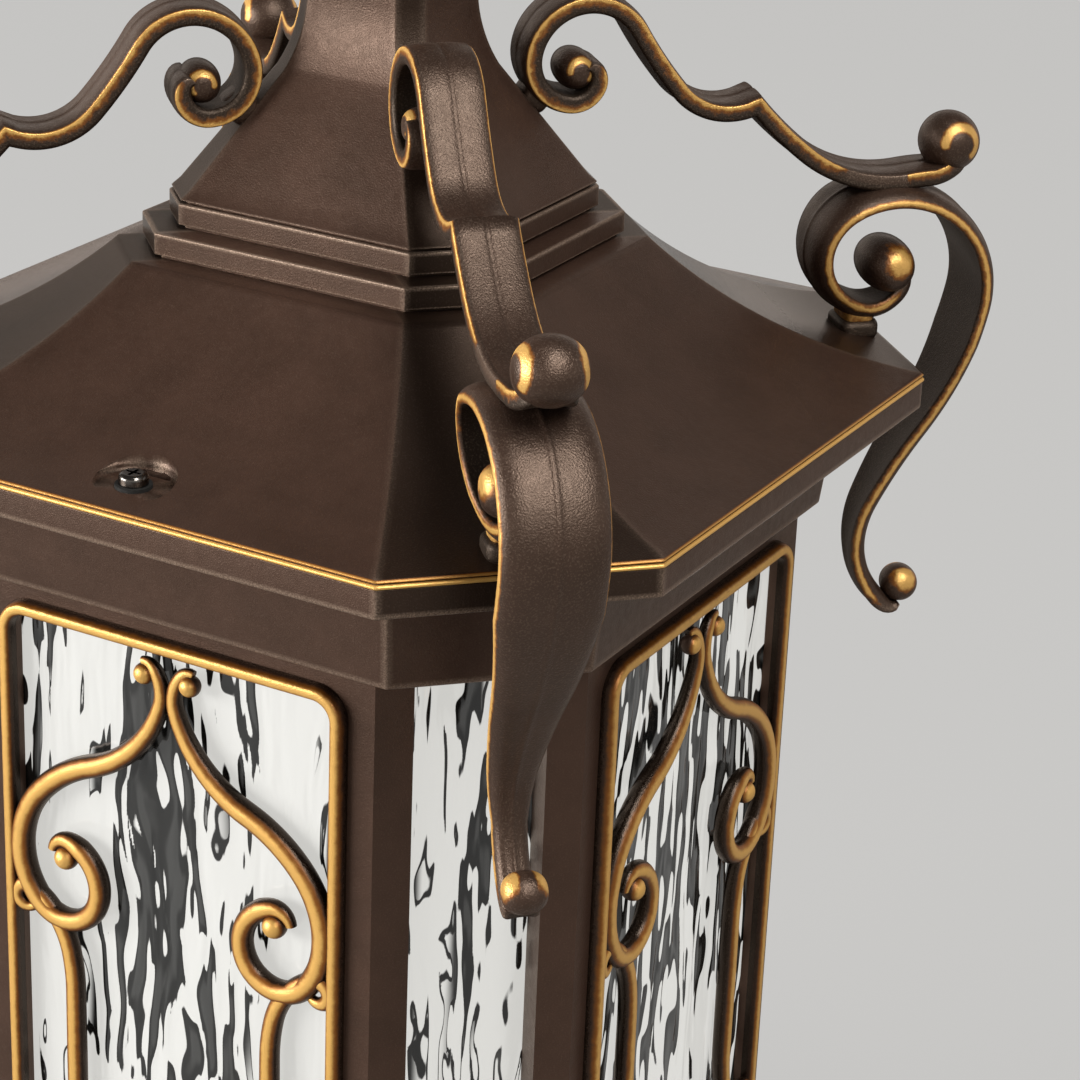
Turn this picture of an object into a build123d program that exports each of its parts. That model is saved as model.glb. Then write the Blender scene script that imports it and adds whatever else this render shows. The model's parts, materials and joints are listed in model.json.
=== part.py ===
from build123d import *
import math
import os

# Pillar light: an eight-sided glazed body on a pedestal, under a hipped roof with four pairs of scrolls.
# Millimetres. The origin is the middle of the underside and +Z is up. The front panel faces -Y.
# An eight-sided plan is given as "half", from the axis to a broad face, and "face", half that face's length.

# Heights of the main stack
pedestal_height = 68.0
body_height = 254.0
flange_thickness = 3.5
roof_seal_thickness = 1.5
eave_rise = 3.0
fascia_height = 11.0

# Body panels
body_half = 106.0
body_face = 65.0
panel_wall = 2.5
post_width = 10.6
post_return = 12.0

# Pedestal, stepped out from the body
body_ledge = 5.0
corner_ledge = 1.1
cove_ledge = 1.0
bead_ledge = 4.0
plinth_ledge = 17.0
plinth_height = 20.0
cove_top_height = 48.0
cove_depth_share = 0.25
cove_height_share = 0.42
bead_height = 8.0
pedestal_wall = 4.0
pedestal_deck = 8.0
base_seal_thickness = 2.0

# Gilded frames and their scrollwork
frame_margin = 8.0
frame_band = 4.3
frame_drop = 40.5
frame_foot = 10.5
frame_radius = 9.5
frame_proud = 4.0
frame_draft = 14.0
bar_radius = 2.8
strap_radius = 2.2
eye_radius = 3.2
pin_radius = 1.2
pin_shares = (-0.38, -0.13, 0.13, 0.38)

# Scrollwork of one half of a frame, drawn for an opening of this half width, from the opening's top
scroll_drawn_half = 52.7
scroll_start = (8.4, -3.6)
scroll_heading = 165.0
scroll_runs = [(3.5, 65), (12.0, 58), (39.5, 51), (45.0, -28), (29.5, -45),
               (24.0, -36), (11.9, -120), (13.6, -92), (5.2, -95)]
bar_offset = 33.5
arch_level = -115.3
arch_foot = 34.0
arch_runs = [(60.0, -12), (25.5, -50), (3.6, -250)]

# Glass, its clips and its corner keepers
glass_thickness = 4.0
glass_lap = 3.5
corner_lap = 5.8
clip_width = 10.0
clip_thickness = 1.0
clip_gap = 0.4
clip_finger = 6.0
clip_shares = (-0.3, 0.3)
clip_screw_cover = 0.8
keeper_thickness = 3.0
keeper_wall = 1.3
keeper_hold = 5.0
keeper_gap = 0.4
keeper_shares = (0.12, 0.88)

# Collar under the roof, stepped out from the body
collar_foot_out = 4.0
collar_foot_face_out = 5.7
collar_top_out = 8.0
collar_top_face_out = 7.5
collar_wall = 3.0
collar_drop = 35.3
collar_mouth_in = 14.0
collar_mouth_face_in = 9.0

# Roof, which overhangs the body
eave_overhang = 29.0
eave_face_overhang = 17.3
roof_wall = 4.0
fascia_wall = 3.0
roof_height = 38.1
rim_half = 61.6
rim_face = 44.1
roof_bend_in = 41.3
roof_bend_face_in = 21.1
roof_bend_height = 14.3
rib_inset = 3.0
rib_width = 7.0

# Stepped plates, spire and finial
step_low_in = 6.0
step_low_face_in = 3.4
step_low_thickness = 7.3
step_top_in = 7.1
step_top_face_in = 3.2
step_top_thickness = 7.2
spire_in = 0.3
spire_bend_in = 23.2
spire_bend_face_in = 18.6
spire_bend_height = 35.8
neck_half = 20.0
neck_face = 14.2
neck_height = 57.3
neck_bend_share = 0.26
spire_height = 70.0
spire_wall = 3.0
finial_height = 68.0
finial_foot_radius = 23.0
finial_foot_height = 5.0
finial_neck_height = 10.0
finial_neck_flare = 1.5
finial_ball_radius = 17.0
finial_waist_share = 0.62
finial_tip_radius = 4.0

# Scroll arms, drawn in the upright plane through the axis and one chamfer. The lower scroll and the leaf
# are placed from the eave's chamfered edge, the loop from the foot of the spire's chamfer.
arm_thickness = 5.0
arm_top_width = 17.7
arm_low_width = 28.0
arm_tail_width = 10.0
arm_tail_start = 2.0
arm_tail_end = 72.0
low_start = (6.95, 21.5)
low_heading = -88.2
low_runs = [(12.1, -111), (21.5, -38), (16.7, -101), (30.4, -122.5), (109.0, -22.5), (157.0, 10),
            (31.2, 72.5), (6.1, 60)]
low_eye = (0.15, 22.0)
low_eye_radius = 8.2
low_eye_width = 21.0
tail_ball = (13.75, -84.0)
tail_ball_radius = 5.8
loop_start = (-3.6, 36.3)
loop_heading = -25.0
loop_runs = [(4.8, -54.5), (7.5, -105), (12.6, -96), (16.7, -138.5), (132.0, 9.5), (20.5, 73.5)]
loop_eye = (-6.8, 32.8)
loop_eye_radius = 3.4
leaf_start = (-46.05, 73.6)
leaf_heading = -48.7
leaf_runs = [(119.0, 10.7), (45.0, 46), (68.0, -5.4), (14.4, 60), (5.8, 40)]
leaf_roll = (17.55, 59.0)
leaf_roll_radius = 9.0
leaf_roll_width = 19.0
foot_span = (-14.65, -2.15)
foot_top = 9.0
foot_slope = 1.0
foot_width = 16.0
foot_screw_in = 6.75
pad_span = (-6.65, 4.35)
pad_low = 44.0
pad_high = 49.0
pad_screw_in = 1.65
pad_screw_level = 42.8
lug_width = 12.0
lug_length = 9.0
lug_reach = 6.5
lug_share = 0.66

# Screws, studs and rods: shank radius, head radius and head height
roof_screw = (2.0, 4.0, 3.1)
small_screw = (1.5, 2.75, 1.8)
plate_screw = (2.5, 4.6, 2.8)
crown_share = 0.45
recess_arm_share = 1.1
recess_slot_share = 0.24
recess_depth_share = 0.6
roof_screw_length = 12.0
roof_screw_inset = 13.0
pocket_radius = 11.5
pocket_floor = 1.4
pocket_wall = 3.0
screw_seal_thickness = 1.0
screw_seal_radius = 5.0
screw_boss_wall = 3.5
screw_boss_depth = 2.5
plate_screw_length = 9.0
earth_screw_length = 5.0
tray_screw_length = 6.0
pad_screw_length = 7.0
screw_cover = 2.0
stud_radius = 4.0
stud_in_finial = 22.0
stud_below = 9.0
stud_nut_radius = 7.4
stud_nut_height = 6.5
stud_washer_radius = 8.8
earth_washer_radius = 5.8
washer_thickness = 1.6
rod_radius = 2.5
rod_side_gap = 2.6
rod_pane_gap = 0.6
rod_end = 2.0
nut_radius = 4.5
nut_height = 4.0

# Lamp and wiring
tray_in = 20.0
tray_face_in = 13.0
tray_thickness = 2.0
tray_lap = 16.0
tray_face_lap = 9.0
grommet_radius = 8.0
grommet_lip = 1.5
grommet_wall = 2.0
holder_flange_radius = 24.0
holder_flange_height = 6.0
holder_radius = 19.0
holder_height = 42.0
holder_screw_place = 21.5
socket_radius = 13.6
socket_depth = 28.0
shell_wall = 0.35
shell_end = 1.0
contact_radius = 4.0
cap_radius = 13.0
cap_height = 24.5
cap_rise = 5.0
cap_tip = 2.5
cap_tip_radius = 4.5
cap_lip = 0.8
cap_lip_in = 1.5
housing_height = 30.0
housing_radius = 24.0
housing_foot = 3.0
housing_foot_out = 1.0
housing_swell = 1.5
housing_waist = 2.5
housing_waist_share = 0.6
bulb_radius = 30.0
dome_wall = 1.2
gland_bore = 5.0
gland_radius = 10.0
gland_head_radius = 14.0
gland_head_height = 5.0
gland_neck_radius = 9.0
gland_neck_height = 9.0
gland_nut_radius = 13.0
gland_nut_height = 8.0
gland_cap_radius = 11.0
gland_cap_height = 5.0
mount_plate_in = 28.0
mount_plate_thickness = 4.0
mount_plate_face = 62.0
bolt_offset = 70.0
bolt_hole_radius = 4.5
tab_width = 40.0
tab_height = 15.0
tab_screw_share = 0.55
earth_place = 45.0
terminal_place = 48.0
terminal_size = (16.0, 40.0, 14.0)
terminal_pitch = 15.0
terminal_floor = 5.0
terminal_screw_end = 1.0
lead_radius = 1.2
lead_bend = 12.0
lead_spread = 3.0
lead_entry = 3.0
lead_floor = 4.0
lead_level = 16.0
lead_in_holder = 8.5
lead_hole_depth = 9.0

# Clearances
fit = 0.1
screw_fit = 0.15
seat_gap = 0.3

# Directions in which pieces repeat
quarter_turns = (0, 90, 180, 270)
arm_turns = (-45, 45, 135, 225)
roof_screw_turns = (0, 180)
side_names = ("front", "right", "back", "left")
corner_names = ("front_right", "back_right", "back_left", "front_left")

# Small numbers for the drawing itself: a reach beyond every piece, a cut's overrun and a least length
far = 600.0
over = 1.0
eps = 0.01
root2 = math.sqrt(2.0)


def corner_distance(half, face):
    """From the axis to a chamfer."""
    return (half + face) / root2


def moved_out(half, face, distance):
    """The same outline with every side moved out by one distance."""
    return half + distance, face + distance * (root2 - 1.0)


# Levels worked out from the stack
z_body = pedestal_height
z_flange = z_body + body_height
z_seal = z_flange + flange_thickness
z_seat = z_seal + roof_seal_thickness
z_eave = z_seat + eave_rise
z_rim = z_eave + roof_height
z_step = z_rim + step_low_thickness
z_spire = z_step + step_top_thickness
z_finial = z_spire + spire_height
z_deck_under = pedestal_height - pedestal_deck
z_roof_under = z_rim - roof_wall
z_tray = z_body + tray_thickness
z_mouth = z_tray + holder_height
z_socket = z_mouth - socket_depth
z_cap = z_socket + cap_rise
z_bulb = z_cap + cap_height
z_dome = z_bulb + housing_height

# Plans worked out from the body
pedestal_top_half = body_half + body_ledge
pedestal_corner = corner_distance(body_half, body_face) - body_half + corner_ledge
cove_top_half = pedestal_top_half + cove_ledge
bead_half = pedestal_top_half + bead_ledge
plinth_half = pedestal_top_half + plinth_ledge
plinth_inner = plinth_half - pedestal_wall
mount_plate_half = plinth_half - mount_plate_in
tray_half = body_half - tray_in
tray_face = body_face - tray_face_in
deck_hole_half = tray_half - tray_lap
deck_hole_face = tray_face - tray_face_lap
tray_screw_place = (deck_hole_half + tray_half) / 2
tab_screw_height = mount_plate_thickness + (tab_height - mount_plate_thickness) * tab_screw_share
collar_foot = (body_half + collar_foot_out, body_face + collar_foot_face_out)
collar_top = (body_half + collar_top_out, body_face + collar_top_face_out)
collar_mouth = (body_half - collar_mouth_in, body_face - collar_mouth_face_in)
eave = (body_half + eave_overhang, body_face + eave_face_overhang)
roof_bend = (eave[0] - roof_bend_in, eave[1] - roof_bend_face_in)
rim = (rim_half, rim_face)
rib_outer = moved_out(*collar_top, -rib_inset)
rib_inner = moved_out(*collar_top, -rib_inset - rib_width)
roof_screw_place = eave[0] - roof_screw_inset
screw_boss_radius = roof_screw[0] + screw_boss_wall
step_low = (rim[0] - step_low_in, rim[1] - step_low_face_in)
step_top = (step_low[0] - step_top_in, step_low[1] - step_top_face_in)
spire_foot = (step_top[0] - spire_in, step_top[1] - spire_in)
spire_bend = (spire_foot[0] - spire_bend_in, spire_foot[1] - spire_bend_face_in)
neck = (neck_half, neck_face)

# Frames, panes and rods worked out from the body
frame_half = body_face - frame_margin
frame_top = z_flange - frame_drop
frame_low = z_body + frame_foot
frame_height = frame_top - frame_low
frame_middle = (frame_top + frame_low) / 2
open_half = frame_half - frame_band
open_top = frame_top - frame_band
open_low = frame_low + frame_band
pin_line = frame_half - frame_band / 2
pin_places = [(across * pin_line, frame_height * share) for across in (-1, 1) for share in pin_shares]
pane_half = open_half + glass_lap
clip_riser = pane_half + clip_gap
clip_screw_line = clip_riser + clip_thickness + small_screw[1] + screw_fit
clip_places = [(across * clip_screw_line, frame_height * share)
               for across in (-1, 1) for share in clip_shares]
corner_front = corner_distance(body_half, body_face) - post_return
corner_open = corner_distance(body_half, -body_face) - post_width
corner_pane_half = corner_open + corner_lap
rod_along = corner_open + panel_wall + rod_radius + rod_side_gap
rod_out = corner_front + rod_radius + rod_pane_gap
rod_places = [((along + rod_out) / root2, (along - rod_out) / root2) for along in (-rod_along, rod_along)]
rod_low = z_deck_under - nut_height - rod_end
rod_high = z_seal + nut_height + rod_end

# Scroll arms worked out from the roof and the spire
eave_corner = corner_distance(*eave)
spire_corner = corner_distance(*spire_foot)
spire_bend_corner = corner_distance(*spire_bend)
spire_rise = z_spire - z_eave
foot_screw_place = eave_corner - foot_screw_in
foot_seat = z_seat + eave_rise / 2
pad_place = eave_corner - pad_screw_in
pad_seat = z_eave + pad_screw_level
lug_wall = spire_wall * spire_bend_height / math.hypot(spire_bend_height, spire_corner - spire_bend_corner)


def plan(half, face):
    """Eight-sided outline."""
    corners = [(face, -half), (half, -face), (half, face), (face, half)]
    return Polygon(*corners, *[(-x, -y) for x, y in corners], align=None)


def prism(half, face, low, high):
    return extrude(Pos(0, 0, low) * plan(half, face), amount=high - low)


def loft_between(low_plan, low, high_plan, high):
    return loft([Pos(0, 0, low) * plan(*low_plan), Pos(0, 0, high) * plan(*high_plan)], ruled=True)


def disc(radius, low, high, x=0.0, y=0.0):
    return Pos(x, y, low) * Cylinder(radius, high - low, align=(Align.CENTER, Align.CENTER, Align.MIN))


def hexagon(radius, low, high, x=0.0, y=0.0):
    return extrude(Pos(x, y, low) * RegularPolygon(radius, 6), amount=high - low)


def block(low, high):
    """Box between two corners."""
    size = [b - a for a, b in zip(low, high)]
    return Pos(*low) * Box(*size, align=(Align.MIN, Align.MIN, Align.MIN))


def around(angles, solid):
    """Copies of a solid turned about the axis."""
    return [Rot(0, 0, angle) * solid for angle in angles]


def four_sides(solids):
    """One group of the pieces that repeat on all four sides."""
    return Compound([copy for solid in solids for copy in around(quarter_turns, solid)])


def fuse(*solids):
    whole = solids[0]
    for solid in solids[1:]:
        whole = whole + solid
    return whole


def lines_through(points):
    return [Line(p, q) for p, q in zip(points, points[1:])]


def symmetric_face(edges):
    """Face between a right-hand outline, drawn from bottom to top, and its mirror image."""
    bottom = edges[0] @ 0
    top = edges[-1] @ 1
    closing = [Line((-bottom.X, bottom.Y), (bottom.X, bottom.Y))]
    if top.X > eps:
        closing.append(Line((top.X, top.Y), (-top.X, top.Y)))
    return make_face([*edges, *[mirror(edge, about=Plane.YZ) for edge in edges], *closing])


def eight_sided(broad, chamfer):
    """Solid whose broad sides follow one upright outline and whose chamfers follow another."""
    form = None
    for outline, turns in ((broad, (0, 90)), (chamfer, (45, 135))):
        for turn in turns:
            slab = Rot(0, 0, turn) * extrude(Plane.XZ * symmetric_face(outline), amount=far, both=True)
            form = slab if form is None else form & slab
    return form


def screw(sizes, length, recess=False):
    """Pan-head screw with its seat at z = 0 and its head above it."""
    shank, head, height = sizes
    body = disc(shank, -length, 0) + disc(head, 0, height)
    crown = [edge for edge in body.edges().filter_by(GeomType.CIRCLE) if edge.center().Z > height - eps]
    body = fillet(crown, height * crown_share)
    if recess:
        arm = head * recess_arm_share
        slot = head * recess_slot_share
        depth = height * recess_depth_share
        for size_x, size_y in ((arm, slot), (slot, arm)):
            body = body - Pos(0, 0, height) * Box(size_x, size_y, 2 * depth)
    return body


def screw_hole(sizes, low, high, x=0.0, y=0.0):
    """Clearance for a screw's shank."""
    return disc(sizes[0] + screw_fit, low, high, x, y)


def head_hole(sizes, low, high, x=0.0, y=0.0):
    """Clearance for a screw's head."""
    return disc(sizes[1] + screw_fit, low, high, x, y)


def rod_holes():
    """Clearance for the tie rods at full height, all round."""
    holes = [disc(rod_radius + screw_fit, 0, far, x, y) for x, y in rod_places]
    return [turned for hole in holes for turned in around(quarter_turns, hole)]


# Chains of tangent arcs, used for every scroll

def chain_points(start, heading, runs, side):
    """Start, middle and end of each arc of a chain, moved sideways to the left by "side".

    A run is (radius, turn in degrees), turning left when positive. A turn of 0 makes a straight run
    whose length is the first number.
    """
    x, y = start
    angle = math.radians(heading)
    spans = []
    for radius, turn in runs:
        left = (-math.sin(angle), math.cos(angle))
        points = []
        if turn == 0:
            for share in (0.0, 0.5, 1.0):
                ahead = radius * share
                points.append((x + ahead * math.cos(angle) + side * left[0],
                               y + ahead * math.sin(angle) + side * left[1]))
            x += radius * math.cos(angle)
            y += radius * math.sin(angle)
        else:
            sign = math.copysign(1.0, turn)
            cx = x + sign * radius * left[0]
            cy = y + sign * radius * left[1]
            swept = math.radians(turn)
            reach = radius - sign * side
            for share in (0.0, 0.5, 1.0):
                now = angle + swept * share
                points.append((cx + sign * reach * math.sin(now), cy - sign * reach * math.cos(now)))
            angle += swept
            x = cx + sign * radius * math.sin(angle)
            y = cy - sign * radius * math.cos(angle)
        spans.append((points, turn))
    return spans


def chain_edges(start, heading, runs, side=0.0):
    edges = []
    for (first, middle, last), turn in chain_points(start, heading, runs, side):
        edges.append(Line(first, last) if turn == 0 else ThreePointArc(first, middle, last))
    return edges


def strap_face(start, heading, runs, thickness):
    """Flat strap of even thickness seen edge on."""
    left = chain_edges(start, heading, runs, thickness / 2)
    right = chain_edges(start, heading, runs, -thickness / 2)
    ends = [Line(left[0] @ 0, right[0] @ 0), Line(left[-1] @ 1, right[-1] @ 1)]
    return make_face([*left, *right, *ends])


def scaled(runs, factor):
    return [(radius * factor, turn) for radius, turn in runs]


def tube(edges, radius):
    path = Wire(edges)
    return sweep(Plane(path @ 0, z_dir=path % 0) * Circle(radius), path=path)


# Pedestal and what is in it

def cove(inward, down):
    """Foot, middle and top of the cove, or of the hollow behind it, which lies further in and down."""
    points = [(plinth_inner, plinth_height),
              (cove_top_half + (plinth_inner - cove_top_half) * cove_depth_share,
               plinth_height + (cove_top_height - plinth_height) * cove_height_share),
              (cove_top_half, cove_top_height)]
    return [(x - inward, z - down) for x, z in points]


def moulding(low_points, cove_points, high_points, offset):
    """Outline in lines with one arc, moved out by "offset"."""
    outlines = (low_points, cove_points, high_points)
    low, arc, high = ([(x + offset, z) for x, z in points] for points in outlines)
    return [*lines_through([*low, arc[0]]), ThreePointArc(*arc), *lines_through([arc[-1], *high])]


def pedestal_outline(offset):
    """Plinth, cove, bead and top course, from the underside upwards."""
    bead_top = cove_top_height + bead_height
    plinth = [(plinth_half, base_seal_thickness), (plinth_half, plinth_height)]
    upper = [(bead_half, cove_top_height), (bead_half, bead_top), (pedestal_top_half, bead_top),
             (pedestal_top_half, pedestal_height)]
    return moulding(plinth, cove(0, 0), upper, offset)


def pedestal_hollow(offset):
    """Hollow of the pedestal, one wall behind the plinth and the cove."""
    top = min(cove_top_half, pedestal_top_half) - pedestal_wall
    plinth = [(plinth_inner, 0), (plinth_inner, plinth_height - pedestal_wall)]
    return moulding(plinth, cove(cove_top_half - top, pedestal_wall), [(top, z_deck_under)], offset)


def plinth_screw_hole():
    """Clearance through the plinth and the mounting plate's tab behind it."""
    depth = 2 * (plate_screw_length + pedestal_wall)
    hole = Cylinder(plate_screw[0] + screw_fit, depth)
    return Pos(0, -plinth_half, tab_screw_height) * Rot(90, 0, 0) * hole


def pedestal():
    shell = eight_sided(pedestal_outline(0), pedestal_outline(pedestal_corner))
    shell = shell - eight_sided(pedestal_hollow(0), pedestal_hollow(pedestal_corner))
    shell = shell - prism(deck_hole_half, deck_hole_face, 0, far)
    tray_hole = screw_hole(roof_screw, 0, far, 0, -tray_screw_place)
    shell = shell - around(quarter_turns, plinth_screw_hole()) - around(quarter_turns, tray_hole)
    return shell - rod_holes()


def mounting_plate():
    plate = prism(mount_plate_half, mount_plate_face, 0, mount_plate_thickness)
    tongue = block((-tab_width / 2, -plinth_inner, 0),
                   (tab_width / 2, -mount_plate_half, mount_plate_thickness))
    tab = block((-tab_width / 2, -plinth_inner, 0),
                (tab_width / 2, mount_plate_thickness - plinth_inner, tab_height))
    plate = fuse(plate, *around(quarter_turns, tongue), *around(quarter_turns, tab))
    plate = plate - around(quarter_turns, plinth_screw_hole()) - disc(gland_radius + fit, -over, far)
    plate = plate - around(quarter_turns, disc(bolt_hole_radius, -over, far, bolt_offset, bolt_offset))
    plate = plate - screw_hole(plate_screw, -over, far, -earth_place)
    for y in (-terminal_pitch, terminal_pitch):
        plate = plate - screw_hole(small_screw, -over, far, terminal_place, y)
    return plate


def base_seal():
    """Gasket under the plinth's wall."""
    def ring_plan(half):
        return half, root2 * (half + pedestal_corner) - half
    outer = prism(*ring_plan(plinth_half - seat_gap), 0, base_seal_thickness)
    return outer - prism(*ring_plan(plinth_inner + seat_gap), -over, far)


def pedestal_screws():
    one = Rot(90, 0, 0) * screw(plate_screw, plate_screw_length, True)
    return Compound(around(quarter_turns, Pos(0, -plinth_half, tab_screw_height) * one))


def cable_gland():
    neck_low = mount_plate_thickness + gland_head_height
    body = disc(gland_radius, 0, mount_plate_thickness)
    body = body + hexagon(gland_head_radius, mount_plate_thickness, neck_low)
    body = body + disc(gland_neck_radius, neck_low, neck_low + gland_neck_height)
    return body - disc(gland_bore, -over, far)


def gland_nut():
    low = mount_plate_thickness + gland_head_height
    crown = low + gland_nut_height
    nut = hexagon(gland_nut_radius, low, crown) + disc(gland_cap_radius, crown, crown + gland_cap_height)
    neck_room = low + gland_neck_height
    return nut - disc(gland_neck_radius + fit, low - over, neck_room) - disc(gland_bore, 0, far)


def terminal_block():
    width, length, height = terminal_size
    low = mount_plate_thickness
    body = block((terminal_place - width / 2, -length / 2, low),
                 (terminal_place + width / 2, length / 2, low + height))
    for y in (-terminal_pitch, terminal_pitch):
        body = body - screw_hole(small_screw, 0, far, terminal_place, y)
        body = body - head_hole(small_screw, low + terminal_floor, far, terminal_place, y)
    for y in (-lead_spread * 2, lead_spread * 2):
        body = body - disc(lead_radius + seat_gap, low + lead_floor, far, terminal_place, y)
    return body


def terminal_screws():
    seat = mount_plate_thickness + terminal_floor
    one = screw(small_screw, seat - terminal_screw_end)
    return [Pos(terminal_place, y, seat) * one for y in (-terminal_pitch, terminal_pitch)]


def earth_screw():
    """Screw and washer for the earth wire."""
    seat = mount_plate_thickness + washer_thickness
    washer = disc(earth_washer_radius, mount_plate_thickness, seat, -earth_place)
    washer = washer - screw_hole(plate_screw, 0, far, -earth_place)
    return Compound([Pos(-earth_place, 0, seat) * screw(plate_screw, earth_screw_length, True), washer])


def lamp_leads():
    """Two wires from the terminal block up through the grommet into the lampholder."""
    wires = []
    low = mount_plate_thickness + lead_floor + seat_gap
    bend = z_deck_under - lead_level
    for side in (-lead_spread, lead_spread):
        points = [(terminal_place, 2 * side, low), (terminal_place, 2 * side, bend),
                  (lead_entry, side, bend), (lead_entry, side, z_tray + lead_in_holder)]
        path = FilletPolyline(*points, radius=lead_bend)
        wires.append(sweep(Plane(path @ 0, z_dir=path % 0) * Circle(lead_radius), path=path))
    return Compound(wires)


# Lamp

def lamp_tray():
    tray = prism(tray_half, tray_face, z_body, z_tray) - disc(grommet_radius, 0, far)
    tray = tray - around(quarter_turns, screw_hole(roof_screw, 0, far, 0, -tray_screw_place))
    for x in (-holder_screw_place, holder_screw_place):
        tray = tray - screw_hole(small_screw, 0, far, x)
    return tray


def tray_screws():
    one = Pos(0, -tray_screw_place, z_tray) * screw(roof_screw, tray_screw_length, True)
    return around(quarter_turns, one)


def tray_grommet():
    ring = disc(grommet_radius + grommet_lip, z_body - grommet_lip, z_tray + grommet_lip)
    groove = disc(far, z_body, z_tray) - disc(grommet_radius, 0, far)
    return ring - groove - disc(grommet_radius - grommet_wall, 0, far)


def lampholder():
    flange_top = z_tray + holder_flange_height
    body = disc(holder_flange_radius, z_tray, flange_top) + disc(holder_radius, z_tray, z_mouth)
    body = body - disc(socket_radius, z_socket, far)
    body = body - disc(grommet_radius + grommet_lip + over, 0, z_tray + grommet_lip + over)
    for y in (-lead_spread, lead_spread):
        body = body - disc(lead_radius + seat_gap, 0, z_tray + lead_hole_depth, lead_entry, y)
    for x in (-holder_screw_place, holder_screw_place):
        body = body - screw_hole(small_screw, 0, flange_top + over, x)
        body = body - head_hole(small_screw, flange_top - small_screw[2], z_mouth, x)
    return body


def holder_screws():
    seat = z_tray + holder_flange_height - small_screw[2]
    one = screw(small_screw, seat - z_body)
    return [Pos(x, 0, seat) * one for x in (-holder_screw_place, holder_screw_place)]


def socket_contacts():
    """Brass sleeve of the socket and its middle contact."""
    outer = socket_radius - fit / 2
    sleeve = disc(outer, z_socket + shell_end, z_mouth - shell_end) - disc(outer - shell_wall, 0, far)
    return Compound([sleeve, disc(contact_radius, z_socket, z_cap - cap_tip - seat_gap)])


def bulb_cap():
    lip = disc(cap_radius - cap_lip_in, z_cap - cap_lip, z_cap)
    return fuse(disc(cap_radius, z_cap, z_bulb), lip, disc(cap_tip_radius, z_cap - cap_tip, z_cap))


def bulb_housing():
    foot = cap_radius + housing_foot_out
    side = [(0, z_bulb), (foot, z_bulb), (cap_radius + housing_swell, z_bulb + housing_foot)]
    top = [(housing_radius, z_dome), (0, z_dome), (0, z_bulb)]
    waist = (housing_radius - housing_waist, z_bulb + housing_height * housing_waist_share)
    lines = [*lines_through(side), ThreePointArc(side[-1], waist, top[0]), *lines_through(top)]
    return revolve(Plane.XZ * make_face(lines), Axis.Z)


def bulb_dome():
    rise = math.sqrt(bulb_radius ** 2 - housing_radius ** 2)
    ball = Pos(0, 0, z_dome + rise) * (Sphere(bulb_radius) - Sphere(bulb_radius - dome_wall))
    return ball & block((-far, -far, z_dome), (far, far, far))


# Glazed body

def frame_outline(inset):
    """Rounded rectangle on the panel's face, in x and z about the frame's middle."""
    return RectangleRounded(2 * (frame_half - inset), frame_height - 2 * inset, frame_radius - inset)


def on_front(depth):
    """Drawing plane of the front panel: x to the right, z up, facing out."""
    return Plane((0, -depth, frame_middle), x_dir=(1, 0, 0), z_dir=(0, -1, 0))


def side_panel():
    """Folded panel: the broad face, a post at each side and a return that carries the corner glass."""
    corner = (body_face, -body_half)
    step = post_width / root2
    post = (corner[0] + step, corner[1] + step)
    back = post_return / root2
    edge = (post[0] - back, post[1] + back)
    wall = panel_wall / root2
    edge_in = (edge[0] - wall, edge[1] - wall)
    post_in = (post[0] - 2 * wall, post[1])
    corner_in = (corner[0] - panel_wall * (root2 - 1.0), corner[1] + panel_wall)
    right = [corner, post, edge, edge_in, post_in, corner_in]
    outline = Polygon(*right, *[(-x, y) for x, y in reversed(right)], align=None)
    panel = extrude(Pos(0, 0, z_body) * outline, amount=body_height)
    window = on_front(body_half + over) * frame_outline(frame_band)
    panel = panel - extrude(window, amount=-panel_wall - 2 * over)
    for x, z in pin_places:
        panel = panel - on_front(body_half) * Pos(x, z) * Cylinder(pin_radius + fit, 4 * panel_wall)
    for x, z in clip_places:
        depth = 2 * (panel_wall - clip_screw_cover / 2)
        hole = Cylinder(small_screw[0] + screw_fit, depth)
        panel = panel - on_front(body_half - panel_wall) * Pos(x, z) * hole
    return panel


def scroll_paths():
    """Paths of one half of the scrollwork: the long scroll, and the upright bar with an arch at each end."""
    factor = open_half / scroll_drawn_half
    top = open_top - frame_middle
    start = (scroll_start[0] * factor, top + scroll_start[1] * factor)
    long_scroll = chain_edges(start, scroll_heading, scaled(scroll_runs, factor))
    bar_top = top + arch_level * factor
    bar_low = arch_foot * factor - top
    half_bar = [((bar_top - bar_low) / 2, 0)] + scaled(arch_runs, factor)
    middle = (bar_offset * factor, (bar_top + bar_low) / 2)
    upper = chain_edges(middle, 90, half_bar)
    lower = chain_edges(middle, -90, [(radius, -turn) for radius, turn in half_bar])
    return long_scroll, upper, lower


def grille():
    """Raised frame with its scrollwork, held by pins through the panel."""
    frame = extrude(on_front(body_half) * frame_outline(0), amount=frame_proud, taper=frame_draft)
    window = on_front(body_half - over) * frame_outline(frame_band)
    frame = frame - extrude(window, amount=frame_proud + 2 * over)
    behind = block((-far, -far, 0), (far, panel_wall - body_half, far))
    pin = Cylinder(pin_radius, panel_wall + over)
    pins = [on_front(body_half - panel_wall / 2) * Pos(x, z) * pin & behind for x, z in pin_places]
    long_scroll, upper, lower = scroll_paths()
    bars = [tube(long_scroll, bar_radius), tube(upper, strap_radius), tube(lower, strap_radius)]
    bars += [Pos(curl.arc_center) * Sphere(eye_radius) for curl in (long_scroll[0], long_scroll[-1])]
    half = [on_front(body_half + frame_proud - bar_radius) * bar for bar in bars]
    other = [mirror(bar, about=Plane.YZ) for bar in half]
    return fuse(frame, *pins, *half, *other) - panel_solid


def wide_pane():
    outline = Rectangle(2 * pane_half, open_top - open_low + 2 * glass_lap)
    return extrude(on_front(body_half - panel_wall) * outline, amount=-glass_thickness)


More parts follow.
